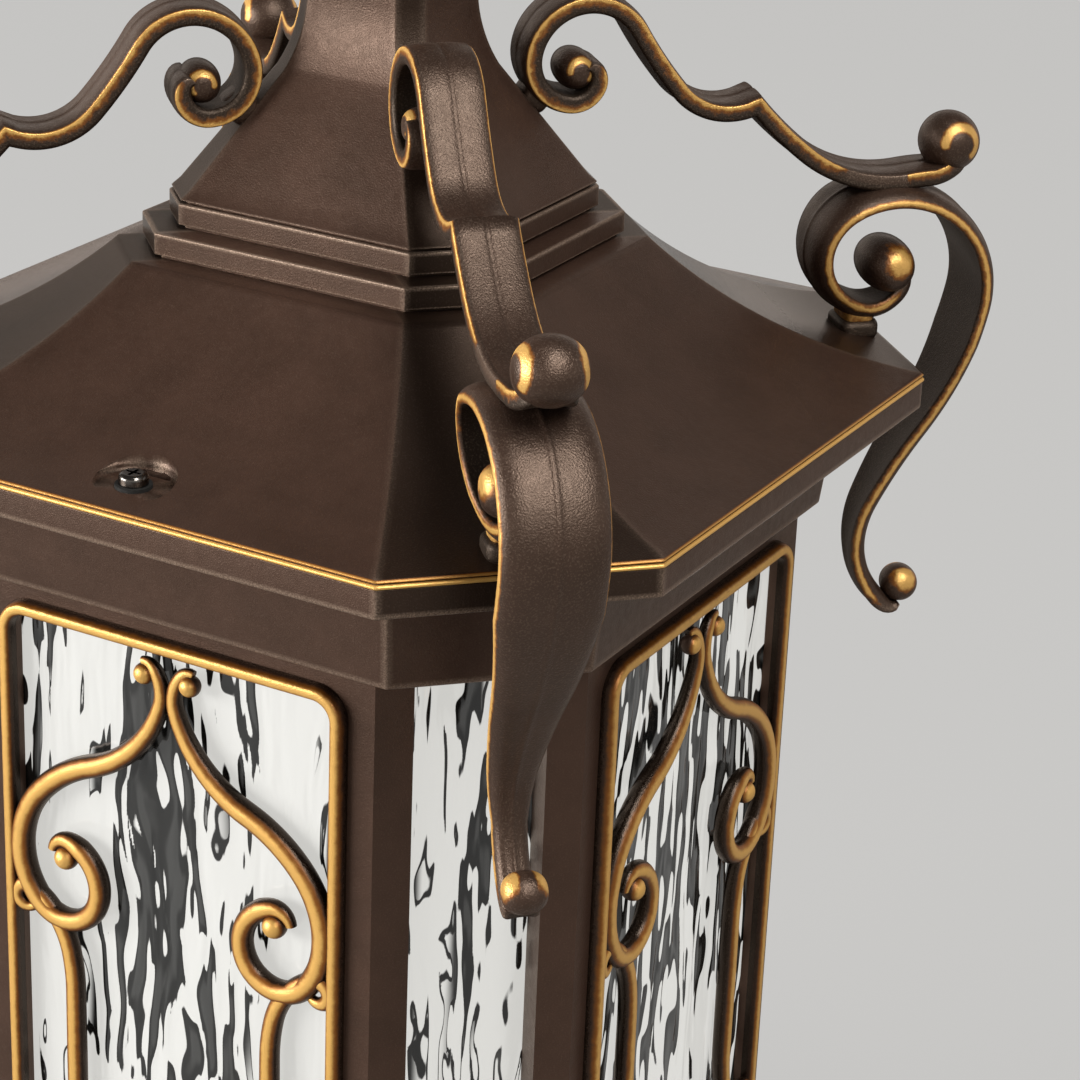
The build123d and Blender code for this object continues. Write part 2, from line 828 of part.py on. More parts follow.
def corner_pane():
    """Narrow pane behind the returns of two neighbouring panels."""
    pane = block((-corner_pane_half, -corner_front, z_body),
                 (corner_pane_half, glass_thickness - corner_front, z_flange - seat_gap))
    return Rot(0, 0, 45) * pane


def wide_clips():
    """Stepped clips that hold a wide pane against its panel, two on each side."""
    outer_x = clip_screw_line + small_screw[1]
    back = -glass_thickness
    points = [(outer_x, 0), (clip_riser, 0), (clip_riser, back), (clip_riser - clip_finger, back),
              (clip_riser - clip_finger, back - clip_thickness),
              (clip_riser + clip_thickness, back - clip_thickness),
              (clip_riser + clip_thickness, -clip_thickness), (outer_x, -clip_thickness)]
    strip = extrude(make_face(Polyline(*points, close=True)), amount=clip_width / 2, both=True)
    hole = Cylinder(small_screw[0] + screw_fit, clip_width)
    strip = strip - Pos(clip_screw_line, 0, 0) * Rot(90, 0, 0) * hole
    left = Rot(0, 0, 180) * strip
    right = mirror(left, about=Plane.YZ)
    inner = body_half - panel_wall
    return [Pos(0, -inner, frame_middle + z) * (left if x < 0 else right) for x, z in clip_places]


def clip_screws():
    seat = body_half - panel_wall - clip_thickness
    one = Rot(-90, 0, 0) * screw(small_screw, clip_thickness + panel_wall - clip_screw_cover)
    return [Pos(x, -seat, frame_middle + z) * one for x, z in clip_places]


def corner_keepers():
    """Fingers on the tie rods that hold a corner pane against the returns."""
    inner = corner_pane_half - keeper_hold
    clear = corner_pane_half + keeper_gap
    start = rod_along - rod_radius - keeper_wall
    edge = rod_along + rod_radius + keeper_wall
    near = -rod_out - rod_radius - keeper_wall
    pane_back = glass_thickness - corner_front
    finger = pane_back + keeper_thickness
    outline = Polyline((start, near), (edge, near), (edge, finger), (inner, finger), (inner, pane_back),
                       (clear, pane_back), (clear, -corner_front - keeper_gap),
                       (start, -corner_front - keeper_gap), close=True)
    keeper = extrude(make_face(outline), amount=keeper_thickness) - disc(rod_radius + screw_fit, -far, far,
                                                                        rod_along, -rod_out)
    pair = [Rot(0, 0, 45) * keeper, Rot(0, 0, 45) * mirror(keeper, about=Plane.YZ)]
    return [Pos(0, 0, z_body + body_height * share) * one for share in keeper_shares for one in pair]


def tie_rods():
    """Rods from the pedestal's deck to the collar's flange, with a nut at each end."""
    pieces = []
    for x, y in rod_places:
        pieces += around(quarter_turns, disc(rod_radius, rod_low, rod_high, x, y))
        for low in (z_seal, z_deck_under - nut_height):
            nut = hexagon(nut_radius, low, low + nut_height, x, y)
            pieces += around(quarter_turns, nut - disc(rod_radius + fit, 0, far, x, y))
    return Compound(pieces)


# Collar and roof

def collar_form():
    return loft_between(collar_foot, z_flange - collar_drop, collar_top, z_flange)


def collar():
    """Tapered skirt round the body's top with the flange that the roof seals on."""
    foot_in = moved_out(*collar_foot, -collar_wall)
    top_in = moved_out(*collar_top, -collar_wall)
    skirt = collar_form() - loft_between(foot_in, z_flange - collar_drop, top_in, z_flange)
    flange = prism(*collar_top, z_flange, z_seal) - prism(*collar_mouth, 0, far)
    return skirt + flange - rod_holes()


def roof_lugs():
    """Threaded lugs on the collar's front and back that take the roof screws."""
    low = z_flange - screw_boss_depth
    high = z_seat - seat_gap
    lug = disc(screw_boss_radius, low, high, 0, -roof_screw_place)
    web = block((-screw_boss_radius, -roof_screw_place, low), (screw_boss_radius, -collar_foot[0], high))
    lug = lug + web - collar_form() - prism(*collar_top, z_flange, far)
    lug = lug - screw_hole(roof_screw, 0, far, 0, -roof_screw_place)
    return Compound(around(roof_screw_turns, lug))


def roof_seal():
    return prism(*rib_outer, z_seal, z_seat) - prism(*rib_inner, 0, far)


def roof_outline(foot, bend, top):
    return [Line((foot, z_eave - fascia_height), (foot, z_eave)),
            ThreePointArc((foot, z_eave), (bend, z_eave + roof_bend_height), (top, z_rim))]


def roof_form():
    broad = roof_outline(eave[0], roof_bend[0], rim[0])
    chamfer = roof_outline(eave_corner, corner_distance(*roof_bend), corner_distance(*rim))
    return eight_sided(broad, chamfer)


def roof_shell():
    inside = prism(*moved_out(*eave, -fascia_wall), 0, far)
    below_seat = block((-far, -far, 0), (far, far, z_seat))
    hollow = (Pos(0, 0, -roof_wall) * roof_solid + below_seat) & inside
    rib = prism(*rib_outer, z_seat, z_rim) - prism(*rib_inner, 0, far)
    boss = disc(pocket_radius + pocket_wall, z_seat, z_rim, 0, -roof_screw_place) & inside
    shell = roof_solid - hollow + (fuse(rib, *around(roof_screw_turns, boss)) & roof_solid)
    pocket = disc(pocket_radius, z_eave + pocket_floor, far, 0, -roof_screw_place)
    pocket = pocket + screw_hole(roof_screw, 0, far, 0, -roof_screw_place)
    foot_hole = screw_hole(small_screw, 0, far, foot_screw_place)
    foot_hole = foot_hole + head_hole(small_screw, 0, foot_seat, foot_screw_place)
    shell = shell - around(roof_screw_turns, pocket) - around(arm_turns, foot_hole)
    return shell - disc(stud_radius + fit, 0, far)


def roof_screw_piece():
    seat = z_eave + pocket_floor + screw_seal_thickness
    return Pos(0, -roof_screw_place, seat) * screw(roof_screw, roof_screw_length, True)


def screw_seals():
    low = z_eave + pocket_floor
    seal = disc(screw_seal_radius, low, low + screw_seal_thickness, 0, -roof_screw_place)
    return Compound(around(roof_screw_turns, seal - screw_hole(roof_screw, 0, far, 0, -roof_screw_place)))


def lower_step():
    return prism(*step_low, z_rim, z_step) - disc(stud_radius + fit, 0, far)


def upper_step():
    return prism(*step_top, z_step, z_spire) - disc(stud_radius + fit, 0, far)


def spire_outline(foot, bend, top, inset):
    """Straight flank, then a bend into the upright neck."""
    rise = z_spire + spire_bend_height
    neck_level = z_spire + neck_height
    middle = (top + (bend - top) * neck_bend_share - inset, (rise + neck_level) / 2)
    return [Line((foot - inset, z_spire), (bend - inset, rise)),
            ThreePointArc((bend - inset, rise), middle, (top - inset, neck_level)),
            Line((top - inset, neck_level), (top - inset, z_finial - inset))]


def spire_form(inset):
    broad = spire_outline(spire_foot[0], spire_bend[0], neck[0], inset)
    chamfer = spire_outline(spire_corner, spire_bend_corner, corner_distance(*neck), inset)
    return eight_sided(broad, chamfer)


def spire():
    shell = spire_solid - spire_form(spire_wall) - disc(stud_radius + fit, 0, far)
    hole = lug_plane() * Cylinder(small_screw[0] + screw_fit, 8 * spire_wall)
    return shell - around(arm_turns, hole)


def finial():
    """Turned finial: foot, neck, ball and tip."""
    foot_top = z_finial + finial_foot_height
    neck_level = z_finial + finial_neck_height
    ball = neck_level + finial_ball_radius
    top = z_finial + finial_height
    waist = finial_ball_radius * finial_waist_share
    spread = math.sqrt(finial_ball_radius ** 2 - waist ** 2)
    tip = top - finial_tip_radius
    foot = lines_through([(0, z_finial), (finial_foot_radius, z_finial), (finial_foot_radius, foot_top)])
    shoulder = ThreePointArc((finial_foot_radius, foot_top),
                             (waist + finial_neck_flare, (foot_top + neck_level) / 2), (waist, ball - spread))
    body = ThreePointArc((waist, ball - spread), (finial_ball_radius, ball), (waist, ball + spread))
    taper = ThreePointArc((waist, ball + spread),
                          (finial_tip_radius + finial_neck_flare, (ball + spread + tip) / 2),
                          (finial_tip_radius, tip))
    point = ThreePointArc((finial_tip_radius, tip),
                          (finial_tip_radius / root2, tip + finial_tip_radius / root2), (0, top))
    form = make_face([*foot, shoulder, body, taper, point, Line((0, top), (0, z_finial))])
    return revolve(Plane.XZ * form, Axis.Z) - disc(stud_radius + fit, 0, z_finial + stud_in_finial + over)


def finial_stud():
    return disc(stud_radius, z_roof_under - stud_below, z_finial + stud_in_finial)


def stud_washer():
    washer = disc(stud_washer_radius, z_roof_under - washer_thickness, z_roof_under)
    return washer - disc(stud_radius + fit, 0, far)


def stud_nut():
    high = z_roof_under - washer_thickness
    return hexagon(stud_nut_radius, high - stud_nut_height, high) - disc(stud_radius + fit, 0, far)


# Scroll arms, made on the +X axis and turned to the chamfers

def from_eave(place):
    return eave_corner + place[0], place[1]


def from_spire(place):
    return spire_corner + place[0], spire_rise + place[1]


def upright(face, width):
    """Thickens an outline of the arm's plane to both sides. Its heights count from the eave's top edge."""
    return Pos(0, 0, z_eave) * extrude(Plane.XZ * face, amount=width / 2, both=True)


def strap(start, heading, runs, width):
    return upright(strap_face(start, heading, runs, arm_thickness), width)


def roll(place, radius, width):
    return Pos(place[0], 0, z_eave + place[1]) * Rot(90, 0, 0) * Cylinder(radius, width)


def low_width_form():
    """Limits the lower scroll's width: full at the top, tapering down its tail."""
    wide = arm_low_width / 2
    slim = arm_tail_width / 2
    right = [(slim, -far), (slim, -arm_tail_end), (wide, -arm_tail_start), (wide, far)]
    outline = Polygon(*right, *[(-x, z) for x, z in reversed(right)], align=None)
    return Pos(0, 0, z_eave) * extrude(Plane.YZ * outline, amount=far)


def lower_scroll():
    start = from_eave(low_start)
    inner, outer = (eave_corner + place for place in foot_span)
    foot = Polygon((inner, 0), (outer, 0), (outer, foot_top), (inner, foot_top + foot_slope), align=None)
    arm = fuse(strap(start, low_heading, low_runs, arm_low_width) & low_width_form(),
               roll(from_eave(low_eye), low_eye_radius, low_eye_width),
               roll(from_eave(tail_ball), tail_ball_radius, arm_tail_width),
               upright(foot, foot_width))
    arm = arm - Rot(0, 0, 45) * roof_solid
    arm = arm - screw_hole(small_screw, 0, z_eave + foot_top - screw_cover, foot_screw_place)
    pad_head = head_hole(small_screw, pad_seat - 2 * small_screw[2], pad_seat, pad_place)
    return arm - pad_head - screw_hole(small_screw, pad_seat - over, far, pad_place)


def lug_plane():
    """On the spire's chamfer, where an upper scroll is fixed, facing out."""
    place = spire_corner + (spire_bend_corner - spire_corner) * lug_share
    return Plane((place, 0, z_spire + spire_bend_height * lug_share), x_dir=(0, 1, 0),
                 z_dir=(spire_bend_height, 0, spire_corner - spire_bend_corner))


def loop_to_leaf():
    """Short strap between the end of the loop and the start of the leaf that lies under it."""
    first = chain_points(from_spire(loop_start), loop_heading, loop_runs, 0)[-1][0][-1]
    last = from_eave(leaf_start)
    across = last[0] - first[0]
    rise = last[1] - first[1]
    length = math.hypot(across, rise) + arm_thickness
    middle = Pos((first[0] + last[0]) / 2, (first[1] + last[1]) / 2)
    slope = Rot(0, 0, math.degrees(math.atan2(rise, across)))
    return upright(middle * slope * Rectangle(length, arm_thickness), arm_top_width)


def upper_scroll():
    pad = block((eave_corner + pad_span[0], -lug_width / 2, z_eave + pad_low),
                (eave_corner + pad_span[1], lug_width / 2, z_eave + pad_high))
    lug = lug_plane() * Pos(0, 0, lug_reach / 2) * Box(lug_width, lug_length, lug_reach)
    arm = fuse(strap(from_spire(loop_start), loop_heading, loop_runs, arm_top_width),
               strap(from_eave(leaf_start), leaf_heading, leaf_runs, arm_top_width),
               loop_to_leaf(), roll(from_spire(loop_eye), loop_eye_radius, arm_top_width),
               roll(from_eave(leaf_roll), leaf_roll_radius, leaf_roll_width), pad, lug)
    arm = arm - lower_scroll_solid - Rot(0, 0, 45) * spire_solid
    arm = arm - screw_hole(small_screw, 0, pad_seat + pad_screw_length + seat_gap, pad_place)
    return arm - lug_plane() * Cylinder(small_screw[0] + screw_fit, 2 * (lug_reach - screw_cover / 2))


def scroll_screws():
    """Screws from under the eave into each foot, from each lower scroll into the upper one that lies on it,
    and from inside the spire into each lug."""
    foot = Rot(180, 0, 0) * screw(small_screw, z_eave + foot_top - screw_cover - over - foot_seat)
    pad = Rot(180, 0, 0) * screw(small_screw, pad_screw_length)
    lug = Rot(180, 0, 0) * screw(small_screw, lug_wall + lug_reach - screw_cover)
    placed = [Pos(foot_screw_place, 0, foot_seat) * foot, Pos(pad_place, 0, pad_seat) * pad,
              lug_plane() * Pos(0, 0, -lug_wall) * lug]
    return Compound([turned for one in placed for turned in around(arm_turns, one)])


roof_solid = roof_form()
spire_solid = spire_form(0)
panel_solid = side_panel()
grille_solid = grille()
pane_solid = wide_pane()
corner_pane_solid = corner_pane()
lower_scroll_solid = lower_scroll()
upper_scroll_solid = upper_scroll()

nodes = {
    "base_seal": base_seal(),
    "mounting_plate": mounting_plate(),
    "pedestal": pedestal(),
    "pedestal_screws": pedestal_screws(),
    "cable_gland": cable_gland(),
    "gland_nut": gland_nut(),
    "terminal_block": terminal_block(),
    "earth_screw": earth_screw(),
    "lamp_leads": lamp_leads(),
    "lamp_tray": lamp_tray(),
    "lamp_screws": Compound([*tray_screws(), *holder_screws(), *terminal_screws()]),
    "tray_grommet": tray_grommet(),
    "lampholder": lampholder(),
    "socket_contacts": socket_contacts(),
    "bulb_cap": bulb_cap(),
    "bulb_housing": bulb_housing(),
    "bulb_dome": bulb_dome(),
    "wide_pane_clips": four_sides(wide_clips()),
    "clip_screws": four_sides(clip_screws()),
    "corner_pane_keepers": four_sides(corner_keepers()),
    "tie_rods": tie_rods(),
    "collar": collar(),
    "roof_lugs": roof_lugs(),
    "roof_seal": roof_seal(),
    "roof_shell": roof_shell(),
    "roof_screw_front": roof_screw_piece(),
    "roof_screw_back": Rot(0, 0, 180) * roof_screw_piece(),
    "roof_screw_seals": screw_seals(),
    "lower_step_plate": lower_step(),
    "upper_step_plate": upper_step(),
    "spire": spire(),
    "finial": finial(),
    "finial_stud": finial_stud(),
    "stud_washer": stud_washer(),
    "stud_nut": stud_nut(),
    "scroll_screws": scroll_screws(),
}
for angle, side, corner in zip(quarter_turns, side_names, corner_names):
    turned = Rot(0, 0, angle)
    nodes["side_panel_" + side] = turned * panel_solid
    nodes["grille_" + side] = turned * grille_solid
    nodes["wide_pane_" + side] = turned * pane_solid
    nodes["corner_pane_" + corner] = turned * corner_pane_solid
for angle, corner in zip(arm_turns, corner_names):
    nodes["lower_scroll_" + corner] = Rot(0, 0, angle) * lower_scroll_solid
    nodes["upper_scroll_" + corner] = Rot(0, 0, angle) * upper_scroll_solid

os.makedirs("parts", exist_ok=True)
for name, solid in nodes.items():
    export_step(solid, os.path.join("parts", name + ".step"))
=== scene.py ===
"""Looks of the pillar light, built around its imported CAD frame."""
import json
import math

import bmesh
import bpy
import numpy as np
from bpy.props import FloatProperty, FloatVectorProperty, IntProperty, PointerProperty
from mathutils import Matrix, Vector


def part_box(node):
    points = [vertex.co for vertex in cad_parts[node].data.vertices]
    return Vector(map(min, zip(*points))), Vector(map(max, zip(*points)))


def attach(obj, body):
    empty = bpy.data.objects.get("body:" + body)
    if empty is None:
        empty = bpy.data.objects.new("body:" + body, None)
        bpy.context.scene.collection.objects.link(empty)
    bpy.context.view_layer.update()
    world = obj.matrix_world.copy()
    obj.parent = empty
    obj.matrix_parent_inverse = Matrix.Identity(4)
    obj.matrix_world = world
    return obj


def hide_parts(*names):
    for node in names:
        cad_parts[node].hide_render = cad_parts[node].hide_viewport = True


bl_info = {
    "name": "Pillar light",
    "version": (1, 0, 0),
    "blender": (4, 5, 0),
    "location": "View3D > Sidebar > Pillar light",
    "description": "Bronze and gilt pillar lantern with rippled glass",
    "category": "Object",
}

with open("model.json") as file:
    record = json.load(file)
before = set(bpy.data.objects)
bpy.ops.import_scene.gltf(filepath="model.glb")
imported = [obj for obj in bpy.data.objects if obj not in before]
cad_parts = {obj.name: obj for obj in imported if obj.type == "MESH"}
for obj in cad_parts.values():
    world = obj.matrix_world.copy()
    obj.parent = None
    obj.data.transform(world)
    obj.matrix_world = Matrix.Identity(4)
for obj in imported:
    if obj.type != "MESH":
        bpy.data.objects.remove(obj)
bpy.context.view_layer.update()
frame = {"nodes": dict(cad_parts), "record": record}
NODES = frame["nodes"]
MM = 0.001
ROOT2 = math.sqrt(2.0)
QUARTERS = (0, 90, 180, 270)
ARM_TURNS = (-45, 45, 135, 225)
SIDES = ("front", "right", "back", "left")
CORNERS = ("front_right", "back_right", "back_left", "front_left")


def top_of(node):
    """Height of a CAD node's highest point in millimetres."""
    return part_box(node)[1].z / MM


def foot_of(node):
    """Height of a CAD node's lowest point in millimetres."""
    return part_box(node)[0].z / MM


def half_of(node):
    """Half of a CAD node's breadth, front to back, in millimetres."""
    low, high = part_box(node)
    return (high.y - low.y) / 2 / MM


def narrowed(plan, half, face):
    """An eight-sided plan taken in across its flats and along its broad sides."""
    return plan[0] - half, plan[1] - face


# Levels read from the frame, in millimetres
FASCIA = 11.0
Z_BODY = foot_of("side_panel_front")
Z_FLANGE = top_of("side_panel_front")
Z_SEAL = top_of("collar")
Z_SEAT = top_of("roof_seal")
Z_EAVE = foot_of("roof_shell") + FASCIA
Z_RIM = foot_of("lower_step_plate")
Z_STEP = foot_of("upper_step_plate")
Z_SPIRE = foot_of("spire")
Z_FINIAL = foot_of("finial")

# Eight-sided plans in millimetres: half of the breadth across flats, half of a broad side
EAVE = narrowed((half_of("roof_shell"), half_of("roof_shell")), 0.0, 52.7)
ROOF_BEND = narrowed(EAVE, 41.3, 21.1)
RIM = (61.6, 44.1)
LOWER_STEP = narrowed(RIM, 6.0, 3.4)
UPPER_STEP = narrowed(LOWER_STEP, 7.1, 3.2)
SPIRE_FOOT = narrowed(UPPER_STEP, 0.3, 0.3)
SPIRE_LEAN = (23.2, 18.6)
SPIRE_BEND = narrowed(SPIRE_FOOT, *SPIRE_LEAN)
SPIRE_NECK = (20.0, 14.2)
BODY = (106.0, 65.0)
COLLAR_FOOT = narrowed(BODY, -4.0, -5.7)
COLLAR_TOP = narrowed(BODY, -8.0, -7.5)
COLLAR_MOUTH = narrowed(BODY, 14.0, 9.0)

# Rises, walls and gaps in millimetres
ROOF_BEND_RISE = 14.3
SPIRE_BEND_RISE = 35.8
SPIRE_NECK_RISE = 57.3
SHADOW_GAP = (1.8, 1.0)
STEP_GAP_HEIGHT = 1.1
SPIRE_GAP_HEIGHT = 0.9
COLLAR_HEIGHT = 35.3
COLLAR_WALL = (3.0, 1.2)
POCKET_PLACE = EAVE[0] - 13.0
POCKET_RADIUS = 11.5
POCKET_FLOOR = 1.4
FRAME_HALF = BODY[1] - 8.0
FRAME_LOW = Z_BODY + 10.5
FRAME_TOP = Z_FLANGE - 40.5
FRAME_BAND = 4.3
FRAME_PROUD = 4.0
FRAME_ROUND = 9.5
OPEN_HALF = FRAME_HALF - FRAME_BAND
OPEN_LOW = FRAME_LOW + FRAME_BAND
OPEN_TOP = FRAME_TOP - FRAME_BAND
PANE_LAP = 3.5
PANE_THICKNESS = 4.0
WIDE_PANE_FRONT = BODY[0] - 2.5
CORNER_PANE_HALF = 24.2
CORNER_PANE_FRONT = (BODY[0] + BODY[1]) / ROOT2 - 12.0

# Scrolls in the upright plane of a chamfer, in millimetres: places as (distance from the axis, height above
# the eave), runs as tangent arcs of (radius, turn in degrees), a left turn being positive
ARM_THICKNESS = 5.0
LOW_START = (160.6, 21.5)
LOW_HEADING = -88.2
LOW_RUNS = [(12.1, -111), (21.5, -38), (16.7, -101), (30.4, -122.5), (109.0, -22.5), (157.0, 10),
            (31.2, 72.5), (6.1, 50)]
LOW_EYE = (153.8, 22.0)
LOW_FOOT = 145.2
TAIL_BALL = (167.4, -84.0)
SADDLE = (152.5, 45.2)
SPIRE_PAD = (42.5, 78.5)
LOOP_START = (56.8, 88.9)
LOOP_HEADING = -25
LOOP_RUNS = [(4.8, -54.5), (7.5, -105), (12.6, -96), (16.7, -138.5), (132.0, 9.5), (20.5, 73.5)]
LOOP_EYE = (53.6, 85.4)
LEAF_HEADING = -48.7
LEAF_RUNS = [(119.0, 10.7), (45.0, 46), (68.0, -5.4), (14.4, 60), (5.8, 12)]
LEAF_ROLL = (171.2, 59.0)

# Scrollwork of half a frame, drawn for this half opening: (across from the middle, down from the top)
DRAWN_HALF = 52.7
CURL_START = (8.4, -3.6)
CURL_HEADING = 165
CURL_RUNS = [(3.5, 65), (12.0, 58), (39.5, 51), (45.0, -28), (29.5, -45), (24.0, -36), (11.9, -120),
             (13.6, -92), (5.2, -95)]
BAR_PLACE = 33.5
ARCH_LEVEL = -115.3
ARCH_FOOT = 34.0
ARCH_RUNS = [(60.0, -12), (25.5, -50), (3.6, -250)]

# The photo's camera: azimuth, elevation and roll in degrees, place and focal length in millimetres
CAMERA_TURNS = (28.5495, 23.1307, 2.3379)
CAMERA_PLACE = (463.66, -752.36, 652.23)
CAMERA_LENS = 107.655


def linear(code):
    """Linear colour of an sRGB hex value."""
    value = np.array([int(code[i:i + 2], 16) for i in (1, 3, 5)]) / 255
    return tuple(np.where(value <= 0.04045, value / 12.92, ((value + 0.055) / 1.055) ** 2.4))


def colour(label, code, words):
    """A colour that the user can change."""
    return FloatVectorProperty(name=label, description=words, subtype="COLOR", size=3, min=0, max=1,
                               default=linear(code))


def length(label, size, words):
    """A length in millimetres that the user can change."""
    return FloatProperty(name=label, description=words + ", in millimetres", default=size, min=0)


def power(label, watts, words):
    """A lamp's power that the user can change."""
    return FloatProperty(name=label, description=words, default=watts, min=0, unit="POWER")


class LanternShape(bpy.types.PropertyGroup):
    """Sizes of the details that the CAD solids leave plain."""
    edge: length("Casting edge", 0.9, "Rounding of the castings' edges")
    bead: length("Eave bead", 0.8, "Radius of the lower gilded bead under the eave's crest")
    strap_edge: length("Strap edge", 1.3, "Rounding of the scroll straps' inner corners")
    strap_crown: length("Strap crown", 0.6, "Swell of a strap's outer face")
    strap_groove: length("Strap groove", 0.25, "Depth of the line along the middle of an upper strap")
    ripple_depth: length("Ripple depth", 0.8, "Relief of the glass")
    ripple_seed: IntProperty(name="Ripple seed", description="Start of the glass pattern", default=4)


class LanternFinish(bpy.types.PropertyGroup):
    """Colours of the finishes."""
    bronze: colour("Bronze", "#443128", "Oil-rubbed bronze coat")
    # Deep bronze is both the coat where it lies thick and the colour of painted shade in hollows, under parts
    # and on the chamfers
    bronze_deep_and_shade: colour("Deep bronze", "#170e08", "Coat where it lies thick")
    bronze_worn: colour("Worn bronze", "#8c7868", "Coat rubbed thin on the edges")
    gold: colour("Gold", "#d6a75c", "Gold wax on the highest points")
    gold_rubbed: colour("Rubbed gold", "#7c4815", "Gold wax rubbed into the dark coat")
    # Painted glow: the clear parts of the glass emit this colour, standing in for the pale surroundings seen
    # through them
    painted_glass_glow: colour("Clear glass", "#f4f3ee", "Light that the clear parts of the glass let through")
    # Painted dark: the glass streaks take this colour, standing in for the dark inside seen through the
    # ripples
    glass_streak: colour("Glass streak", "#1d1d1c", "Glass whose ripples carry the dark inside")


class LanternStage(bpy.types.PropertyGroup):
    """Floor and light."""
    floor: colour("Floor", "#d1d0ce", "Pale floor")
    world: FloatProperty(name="Surroundings", description="Strength of the even light", default=0.27, min=0)
    key: power("Key", 102, "Power of the large light at the front left")
    panel: power("Panel", 24, "Power of the panel that only gloss shows")
    strip: power("Strip", 38, "Power of the narrow light at the right")


# Surfaces. A part is (points in millimetres, four-cornered faces, {attribute: value at each point}).

def unit(angle):
    """Unit vectors at angles in radians."""
    return np.stack([np.cos(angle), np.sin(angle)], -1)


def running_length(points):
    """Length from the first point to each point along them."""
    return np.concatenate([[0], np.cumsum(np.linalg.norm(np.diff(points, axis=0), axis=-1))])


def ball_angles(rows, columns):
    """Latitudes as a column and turns as a row, in radians, up to one degree from the poles."""
    latitude = np.radians(np.linspace(-89, 89, rows))[:, None]
    return latitude, np.linspace(0, 2 * math.pi, columns, endpoint=False)[None]


def grid_faces(rows, columns, ring):
    """Faces between neighbours on a grid of points; a ring joins its last column to its first."""
    index = np.arange(rows * columns).reshape(rows, columns)
    if ring:
        index = np.concatenate([index, index[:, :1]], 1)
    return np.stack([index[:-1, :-1], index[:-1, 1:], index[1:, 1:], index[1:, :-1]], -1).reshape(-1, 4)


def grid_part(points, ring=True, poles=False, **values):
    """A part from a grid of points (rows, columns, 3). Poles add the middle of the first and last rows."""
    values = {key: np.broadcast_to(value, points.shape[:2]) for key, value in values.items()}
    if poles:
        ends = [np.broadcast_to(row.mean(0), row.shape) for row in (points[0], points[-1])]
        points = np.concatenate([ends[:1], points, ends[1:]])
        values = {key: np.concatenate([value[:1], value, value[-1:]]) for key, value in values.items()}
    rows, columns = points.shape[:2]
    return (points.reshape(-1, 3), grid_faces(rows, columns, ring),
            {key: value.reshape(-1) for key, value in values.items()})


def turned(part, angle, shift=0.0):
    """The part turned about the axis and then raised."""
    turn = math.radians(angle)
    matrix = np.array([[math.cos(turn), -math.sin(turn), 0], [math.sin(turn), math.cos(turn), 0], [0, 0, 1]])
    return part[0] @ matrix.T + [0, 0, shift], part[1], part[2]


def mirrored(part):
    """The part mirrored to the other side of the middle plane."""
    return part[0] * [-1, 1, 1], part[1][:, ::-1], part[2]


def weigh_normals(piece):
    """Lets the larger faces carry the normals beside rounded edges."""
    piece.modifiers.new("Face weighted normals", "WEIGHTED_NORMAL").keep_sharp = True


def build(name, parts, body, slot, stands_for=(), sharp=50):
    """Joins parts into one piece that rides on a body and stands for CAD nodes."""
    starts = np.cumsum([0] + [len(part[0]) for part in parts])
    points = np.concatenate([part[0] for part in parts]) * MM
    faces = np.concatenate([part[1] + start for part, start in zip(parts, starts)])
    mesh = bpy.data.meshes.new(name)
    mesh.vertices.add(len(points))
    mesh.vertices.foreach_set("co", points.astype(np.float32).ravel())
    mesh.loops.add(faces.size)
    mesh.loops.foreach_set("vertex_index", faces.astype(np.int32).ravel())
    mesh.polygons.add(len(faces))
    mesh.polygons.foreach_set("loop_start", np.arange(0, faces.size, 4, dtype=np.int32))
    mesh.update(calc_edges=True)
    for key in sorted({key for part in parts for key in part[2]}):
        value = np.concatenate([part[2].get(key, np.zeros(len(part[0]))) for part in parts])
        mesh.attributes.new(key, "FLOAT", "POINT").data.foreach_set("value", value.astype(np.float32))
    shell = bmesh.new()
    shell.from_mesh(mesh)
    bmesh.ops.remove_doubles(shell, verts=shell.verts, dist=2e-6)
    bmesh.ops.dissolve_degenerate(shell, edges=shell.edges, dist=1e-7)
    bmesh.ops.recalc_face_normals(shell, faces=shell.faces)
    shell.to_mesh(mesh)
    shell.free()
    mesh.validate()
    mesh.shade_smooth()
    mesh.set_sharp_from_angle(angle=math.radians(sharp))
    piece = bpy.data.objects.new(name, mesh)
    bpy.context.scene.collection.objects.link(piece)
    mesh.materials.append(finish_named(slot))
    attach(piece, body)
    if stands_for:
        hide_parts(*stands_for)
    weigh_normals(piece)
    return piece


